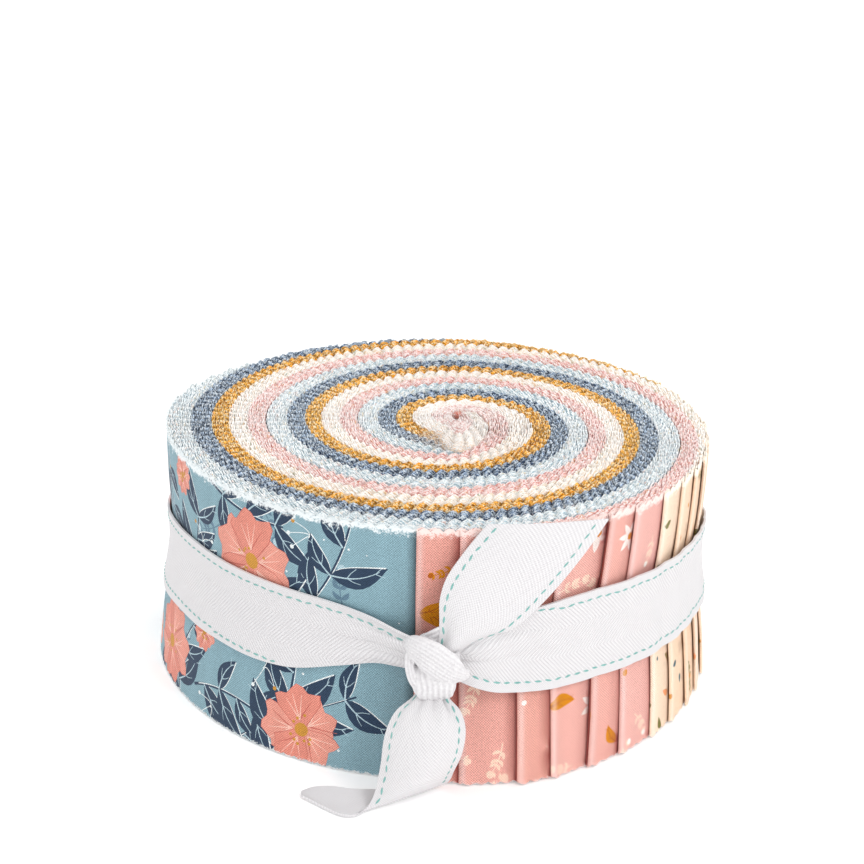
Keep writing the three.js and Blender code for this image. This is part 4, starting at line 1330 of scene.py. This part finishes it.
LOWER_TAIL = [
    [(-2.4, -75.6, 28.6), (-1.4, -76.2, 28.8), (-0.2, -76.4, 28.8), (1.0, -76.2, 28.6), (2.0, -75.6, 28.2)],
    [(-4.4, -77.0, 25.4), (-2.4, -78.2, 26.0), (-0.4, -78.6, 26.2), (1.6, -78.4, 26.0), (3.3, -77.6, 25.6)],
    [(-8.4, -78.6, 21.9), (-5.0, -81.0, 22.8), (-1.2, -82.2, 23.4), (3.0, -81.8, 23.6), (6.2, -80.0, 23.3)],
    [(-10.5, -80.5, 17.0), (-6.4, -83.4, 18.2), (-1.6, -84.8, 19.0), (3.6, -84.2, 19.6), (7.5, -82.0, 19.8)],
    [(-11.3, -82.2, 10.2), (-7.2, -84.8, 11.8), (-2.4, -86.0, 13.0), (2.8, -84.9, 13.8), (6.9, -81.8, 13.9)],
    [(-12.3, -83.9, 4.9), (-8.2, -85.2, 6.0), (-3.6, -85.4, 7.0), (1.3, -83.0, 7.8), (5.3, -78.6, 7.6)],
    [(-13.9, -85.3, 1.5), (-9.6, -83.9, 1.7), (-5.0, -81.0, 1.9), (-0.4, -77.8, 2.0), (4.1, -74.3, 2.1)],
    [(-15.1, -86.3, 0.75), (-10.9, -83.4, 0.65), (-6.6, -80.0, 0.6), (-2.2, -76.7, 0.6), (2.2, -73.5, 0.6)],
    [(-16.1, -87.4, 0.55), (-12.9, -84.0, 0.5), (-9.8, -80.6, 0.5), (-6.6, -77.7, 0.7), (-3.4, -75.3, 1.0)],
    [(-17.6, -88.6, 0.55), (-15.9, -85.8, 0.5), (-14.2, -82.9, 0.6), (-12.4, -80.4, 1.1), (-10.7, -78.6, 1.9)],
    [(-20.3, -88.2, 0.6), (-19.6, -85.6, 0.5), (-18.8, -83.0, 0.7), (-18.0, -80.8, 1.3), (-17.2, -79.3, 2.1)],
    [(-24.0, -85.4, 0.6), (-23.8, -83.4, 0.5), (-23.5, -81.4, 0.8), (-23.2, -79.5, 1.3), (-22.9, -78.1, 1.9)],
    [(-27.4, -82.4, 0.6), (-27.4, -81.3, 0.55), (-27.3, -80.1, 0.8), (-27.2, -78.9, 1.1), (-27.0, -77.9, 1.4)],
    [(-29.6, -80.6, 0.7), (-29.7, -80.3, 0.7), (-29.7, -79.9, 0.75), (-29.7, -79.5, 0.85), (-29.6, -79.1, 0.95)],
]


def tail_parts(tape):
    grid, along = smooth_rows(UPPER_TAIL, 64, 23)
    t = np.linspace(-0.5, 0.5, 23)[None]
    s = (along / along[-1])[:, None]
    # Creases that fan out of the knot, and a ridge on the tail's right side.
    du, dv = np.gradient(grid, axis=0), np.gradient(grid, axis=1)
    n = np.cross(dv, du)
    n /= np.linalg.norm(n, axis=2)[..., None]
    fan = 0.42 * (1 - ease(s / 0.45)) * np.cos(2 * math.pi * (t + 0.5) * 2.3 + 0.4)
    crease = 0.02 + 0.5 * s
    ridge = -2.6 * np.clip((t - crease) / 0.5, 0, 1) * (1 - ease((s - 0.16) / 0.22))
    soft = 0.25 * np.sin(s * 7 + t * 4) * np.sin(s * math.pi)
    grid = grid + n * (fan + ridge + soft)[..., None]
    grid = grid[:, ::-1]
    wide = np.linalg.norm(np.diff(grid, axis=1), axis=2).sum(1)[:, None]
    v = -t * np.maximum(wide, 3.0) * np.where(wide > 21, 22 / np.maximum(wide, 21), 1.0)
    v = -np.broadcast_to(t, grid.shape[:2]) * TAPE_WIDE
    high, normal = tape.stretch(grid, along[:, None] + 31.0, v[:, ::-1], 0.5, 1)
    for line in (8.9, -8.9):
        tape.stitches(high, normal, along[:, None], v[:, ::-1], line, 1.0 if line > 0 else 0.2)

    grid, along = smooth_rows(LOWER_TAIL, 150, 23)
    s = along[:, None]
    du, dv = np.gradient(grid, axis=0), np.gradient(grid, axis=1)
    n = np.cross(du, dv)
    n /= np.linalg.norm(n, axis=2)[..., None]
    fan = 0.38 * (1 - ease((s - 2) / 13)) * np.cos(2 * math.pi * (t + 0.5) * 4.0 + 1.4)
    fan = fan + 0.5 * np.exp(-(((t - 0.22) / 0.07) ** 2)) * np.exp(-(((s - 6.5) / 4.5) ** 2)) - 0.5 * np.exp(-(((t - 0.30) / 0.05) ** 2)) * np.exp(-(((s - 6.5) / 4.0) ** 2))
    grid = grid + n * fan[..., None]
    v = np.broadcast_to(t * TAPE_WIDE, grid.shape[:2])
    high, normal = tape.stretch(grid, s + 77.0, v, 0.5, 1)
    # The stitches show on the side that faces out before the turn.
    stop = int(np.argmax(along > 33.0))
    for line in (8.9, -8.9):
        tape.stitches(high[:stop], normal[:stop], s[:stop], v[:stop], line, 0.5)


def lobe(path, widths, depths, ribs, amount, n=44, around=72, lift=(0, -1, 0), seed=1):
    """A wrap of gathered tape: a flattened tube along path."""
    rng = np.random.default_rng(seed)
    path = np.asarray(path, float)
    t = np.linspace(0, 1, len(path))
    s = np.linspace(0, 1, n)
    c = np.stack([np.interp(s, t, path[:, k]) for k in range(3)], -1)
    for _ in range(30):
        c[1:-1] = (c[:-2] + c[2:] + 2 * c[1:-1]) / 4
    w, d = np.interp(s, t, widths), np.interp(s, t, depths)
    along = np.gradient(c, axis=0)
    along /= np.linalg.norm(along, axis=1)[:, None]
    front = np.asarray(lift, float)[None] - along * (along @ np.asarray(lift, float))[:, None]
    front /= np.linalg.norm(front, axis=1)[:, None]
    cross = np.cross(along, front)
    end = np.sqrt(np.clip(1 - (2 * s - 1) ** 8, 0.02, 1))
    a = np.linspace(0, 2 * math.pi, around + 1)[:-1]
    ca, sa = np.cos(a), np.sin(a)
    shape_w = np.sign(ca) * np.abs(ca) ** 0.85
    shape_d = np.sign(sa) * np.abs(sa) ** 0.75
    drift = np.interp(s, np.linspace(0, 1, 6), rng.uniform(-0.5, 0.5, 6))
    rib = amount * np.cos(ribs * math.pi * shape_w[None] * (1 + 0.1 * drift[:, None]) + 1.2 * drift[:, None]) * (np.clip(sa, 0, 1) ** 0.5)[None]
    rib = rib + 0.35 * amount * np.cos(ribs * 1.7 * math.pi * shape_w[None] + 2.0 + 2 * drift[:, None]) * (np.clip(sa, 0, 1) ** 0.5)[None]
    pts = (c[:, None] + cross[:, None] * (w * end)[:, None, None] * shape_w[None, :, None]
           + front[:, None] * ((d * end)[:, None] * shape_d[None] + rib)[..., None])
    verts = np.concatenate([pts.reshape(-1, 3), c[:1], c[-1:]])
    i = np.arange(n - 1)[:, None] * around
    k = np.arange(around)[None]
    k2 = (k + 1) % around
    quads = np.stack(np.broadcast_arrays(i + k, i + around + k, i + around + k2, i + k2), -1).reshape(-1, 4)
    k, k2 = k[0], k2[0]
    cap0 = np.stack([np.full(around, n * around), k, k2], -1)
    cap1 = np.stack([np.full(around, n * around + 1), (n - 1) * around + k2, (n - 1) * around + k], -1)
    tris = np.concatenate([quads[:, [0, 1, 2]], quads[:, [0, 2, 3]], cap0, cap1])
    # Each point's place across the wrap, from -1 to 1, and along it.
    mark = np.stack([np.broadcast_to(shape_w[None] * (0.55 + 0.45 * (w / w.max())[:, None]) + 0.16 * drift[:, None], (n, around)), np.broadcast_to(s[:, None], (n, around))], -1).reshape(-1, 2)
    mark = np.concatenate([mark, [[0, 0], [0, 1]]])
    return verts, tris, mark * np.array([ribs, 1.0])


def knot_part():
    """The knot: a broad ribbed wrap across it, a small one at its left, and
    the lump under them, joined into one skin."""
    shells = [
        # the wrap across the front
        lobe([(-6.0, -75.0, 38.6), (-4.2, -77.9, 38.4), (-0.6, -79.6, 36.6), (3.2, -79.6, 33.6), (6.2, -78.0, 31.6), (8.0, -75.8, 30.9)],
             [1.8, 2.7, 3.7, 3.7, 2.1, 0.9], [1.5, 2.2, 2.6, 2.3, 1.4, 0.8], 9.0, 0.15, seed=3),
        # the body under it, gathered downwards
        lobe([(-0.4, -77.2, 34.6), (-0.1, -78.9, 31.4), (0.4, -79.0, 28.6), (0.9, -77.8, 26.4), (1.0, -76.2, 25.2)],
             [4.0, 4.8, 4.9, 4.0, 3.0], [1.4, 2.0, 2.1, 1.7, 1.0], 8.0, 0.13, seed=4),
        # the small wrap at its left
        lobe([(-5.0, -75.2, 37.6), (-5.7, -77.4, 35.8), (-5.5, -78.4, 33.4), (-4.8, -78.7, 30.8), (-3.4, -78.2, 28.4), (-1.8, -76.4, 27.0)],
             [0.9, 1.15, 1.2, 1.2, 1.1, 0.9], [1.0, 1.5, 1.6, 1.6, 1.5, 1.0], 3.0, 0.09, seed=5),
        # the tape that runs in behind it
        lobe([(-2.2, -73.8, 38.4), (-0.4, -74.8, 39.6), (1.2, -75.0, 40.6), (2.6, -74.6, 41.0)],
             [1.2, 1.5, 1.6, 1.4], [0.4, 0.45, 0.45, 0.4], 3.0, 0.05, seed=6),
        lobe([(-5.2, -72.6, 36.2), (0.0, -74.0, 33.4), (5.2, -73.4, 31.2)],
             [4.2, 5.8, 4.2], [2.6, 3.2, 2.4], 1.0, 0.0, seed=7),
    ]
    verts, tris, marks, count = [], [], [], 0
    for v, f, mark in shells:
        verts.append(v)
        tris.append(f + count)
        marks.append(mark)
        count += len(v)
    raw = add_mesh("knot_raw", np.concatenate(verts), np.concatenate(tris))
    mod = raw.modifiers.new("skin", "REMESH")
    mod.mode, mod.voxel_size = "VOXEL", 0.26 * MM
    mod.use_smooth_shade = True
    calm = raw.modifiers.new("calm", "SMOOTH")
    calm.factor, calm.iterations = 0.5, 2
    bpy.context.view_layer.update()
    me = bpy.data.meshes.new_from_object(raw.evaluated_get(bpy.context.evaluated_depsgraph_get()))
    bpy.data.objects.remove(raw)
    me.name = "tape_knot"
    ob = bpy.data.objects.new("tape_knot", me)
    bpy.context.scene.collection.objects.link(ob)
    me.polygons.foreach_set("use_smooth", np.ones(len(me.polygons), bool))
    # The ribs of the gathered tape follow each wrap over the joined skin.
    tree = KDTree(count)
    for i, v in enumerate(np.concatenate(verts)):
        tree.insert(v, i)
    tree.balance()
    marks = np.concatenate(marks)
    co = np.empty(len(me.vertices) * 3, np.float32)
    me.vertices.foreach_get("co", co)
    co = co.reshape(-1, 3) / MM
    near = np.array([marks[[i for _, i, _ in tree.find_n(c, 3)]].mean(0) for c in co])
    normal = np.empty(len(co) * 3, np.float32)
    me.vertex_normals.foreach_get("vector", normal)
    rib = np.cos(near[:, 0] * math.pi * 0.95)
    me.vertices.foreach_set("co", ((co + normal.reshape(-1, 3) * (rib * 0.065)[:, None]) * MM).astype(np.float32).ravel())
    me.attributes.new("rib", "FLOAT", "POINT").data.foreach_set("value", rib.astype(np.float32))
    return ob


def tape_material(name, on_map=True, back=False):
    """White herringbone twill: three columns of slanting ribs, faint on the back."""
    m, nt, bsdf = new_material(name)
    if on_map:
        uv = node(nt, "ShaderNodeUVMap", uv_map="cloth")
        split = node(nt, "ShaderNodeSeparateXYZ")
        nt.links.new(uv.outputs[0], split.inputs[0])
        u, v = split.outputs[0], split.outputs[1]
        # Distance from the middle of this column, so the ribs turn at its edges.
        col = math_node(nt, "PINGPONG", math_node(nt, "ADD", v, TAPE_WIDE * 0.5 + 7.33 * 2), 7.33)
        slant = math_node(nt, "MULTIPLY", col, 0.9)
        phase = math_node(nt, "ADD", u, slant)
        rib = math_node(nt, "SINE", math_node(nt, "MULTIPLY", phase, 2 * math.pi / 0.98))
        rib = math_node(nt, "MULTIPLY", rib, 0.5)
        fine = math_node(nt, "MULTIPLY", math_node(nt, "SINE", math_node(nt, "MULTIPLY", u, 2 * math.pi / (0.86 if back else 0.52))),
                         math_node(nt, "SINE", math_node(nt, "MULTIPLY", v, 2 * math.pi / (0.74 if back else 0.52))))
        # The selvedge is plain.
        edge = node(nt, "ShaderNodeMapRange", interpolation_type="SMOOTHSTEP")
        for socket, x in (("From Min", 8.9), ("From Max", 9.5), ("To Min", 1.0), ("To Max", 0.0)):
            edge.inputs[socket].default_value = x
        nt.links.new(math_node(nt, "ABSOLUTE", v), edge.inputs["Value"])
        rib = math_node(nt, "MULTIPLY", rib, edge.outputs[0])
        height = math_node(nt, "ADD", math_node(nt, "MULTIPLY", rib, 0.25 if back else 0.8), math_node(nt, "MULTIPLY", fine, 0.55 if back else 0.45))
    else:
        coords = node(nt, "ShaderNodeTexCoord")
        grain = node(nt, "ShaderNodeTexNoise", in_Scale=1700.0, in_Detail=3.0)
        nt.links.new(coords.outputs["Object"], grain.inputs["Vector"])
        ribbed = node(nt, "ShaderNodeAttribute", attribute_name="rib")
        height = math_node(nt, "MULTIPLY", math_node(nt, "SUBTRACT", grain.outputs["Fac"], 0.5), 1.4)
        height = math_node(nt, "ADD", height, math_node(nt, "MULTIPLY", ribbed.outputs["Fac"], 0.32))
    coords = node(nt, "ShaderNodeTexCoord")
    cloud = node(nt, "ShaderNodeTexNoise", in_Scale=260.0, in_Detail=4.0)
    nt.links.new(coords.outputs["Object"], cloud.inputs["Vector"])
    # The ribs' height sets the colour: painted shade, darker in the hollows between the ribs and lighter on their
    # crests.
    shade = node(nt, "ShaderNodeMapRange")
    for socket, x in (("From Min", -0.6), ("From Max", 0.6), ("To Min", 0.0), ("To Max", 1.0)):
        shade.inputs[socket].default_value = x
    nt.links.new(height, shade.inputs["Value"])
    tone = mix_colour(nt, shade.outputs[0], linear((206, 203, 205)), linear((235, 234, 235)))
    tone = mix_colour(nt, math_node(nt, "MULTIPLY", cloud.outputs["Fac"], 0.15), tone, linear((206, 202, 206)))
    nt.links.new(tone, bsdf.inputs["Base Color"])
    bsdf.inputs["Roughness"].default_value = 0.7
    bsdf.inputs["Specular IOR Level"].default_value = 0.3
    bsdf.inputs["Sheen Weight"].default_value = 0.2
    bsdf.inputs["Sheen Roughness"].default_value = 0.4
    bump = node(nt, "ShaderNodeBump", in_Strength=0.5, in_Distance=0.00022)
    nt.links.new(height, bump.inputs["Height"])
    nt.links.new(bump.outputs[0], bsdf.inputs["Normal"])
    return m


def stitch_material():
    m, nt, bsdf = new_material("stitch_thread")
    coords = node(nt, "ShaderNodeTexCoord")
    noise = node(nt, "ShaderNodeTexNoise", in_Scale=1800.0, in_Detail=2.0)
    nt.links.new(coords.outputs["Object"], noise.inputs["Vector"])
    tone = mix_colour(nt, noise.outputs["Fac"], linear((88, 150, 144)), linear((150, 200, 194)))
    nt.links.new(tone, bsdf.inputs["Base Color"])
    bsdf.inputs["Roughness"].default_value = 0.6
    bump = node(nt, "ShaderNodeBump", in_Strength=0.3, in_Distance=0.0001)
    nt.links.new(noise.outputs["Fac"], bump.inputs["Height"])
    nt.links.new(bump.outputs[0], bsdf.inputs["Normal"])
    return m


def make_tape():
    tape = Tape()
    band_part(tape)
    tail_parts(tape)
    body = add_mesh("tie_tape_cloth", np.concatenate(tape.verts), np.concatenate(tape.faces), None, np.concatenate(tape.uvs), 0.8)
    body.data.materials.append(tape_material("twill_tape"))
    body.data.materials.append(tape_material("twill_tape_back", True, True))
    body.data.polygons.foreach_set("material_index", np.concatenate(tape.sides))
    thread = add_mesh("tie_tape_stitches", np.concatenate(tape.sv), np.concatenate(tape.sf), None, None, 1.2)
    thread.data.materials.append(stitch_material())
    knot = knot_part()
    knot.data.materials.append(tape_material("twill_gathered", False))
    return body, thread, knot


# ------------------------------------------------------------------ put it up

make_camera()
make_stage()
layers = make_layers()
folds = make_folds()
threads = make_threads()
EDGE_SPECKS = {
    "pink": ((206, 118, 108), 0.50, (255, 249, 247), 0.90),
    "cream": ((222, 190, 150), 0.30, (255, 254, 252), 0.95),
    "mustard": ((132, 76, 6), 0.70, (255, 240, 200), 0.90),
    "navy": ((26, 38, 64), 0.80, (222, 230, 236), 0.95),
    "blue": ((140, 166, 182), 0.50, (255, 255, 254), 0.95),
}
RIMS = {
    "pink": (250, 226, 220), "cream": (254, 244, 230), "mustard": (242, 208, 146), "navy": (176, 190, 204), "blue": (238, 243, 244),
}
layer_look = {n: cloth_material("cotton_edges_" + n, 0.5, 0.12, 0.15, None, EDGE_SPECKS[n]) for n, _, _ in GROUPS}
fold_look = {n: cloth_material("cotton_print_" + n, 0.62, 0.80, 0.30, (0.0611, 0.0626, RIMS[n], 0.92)) for n, _, _ in GROUPS}
threads.data.materials.append(cloth_material("cotton_yarn", 0.5, 0.0, 0.0))
shown = []
for name in layers:
    layers[name].data.materials.append(layer_look[name])
    folds[name].data.materials.append(fold_look[name])
    shown += [layers[name], folds[name]]
shown.append(threads)
for ob in shown:
    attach(ob, "root")
    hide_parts("fabric_roll")
    print(ob.name, sum(len(p.vertices) - 2 for p in ob.data.polygons))

tape, thread, knot = make_tape()
for ob in (tape, thread, knot):
    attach(ob, "root")
    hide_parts("tie_tape")
    print(ob.name, sum(len(p.vertices) - 2 for p in ob.data.polygons))
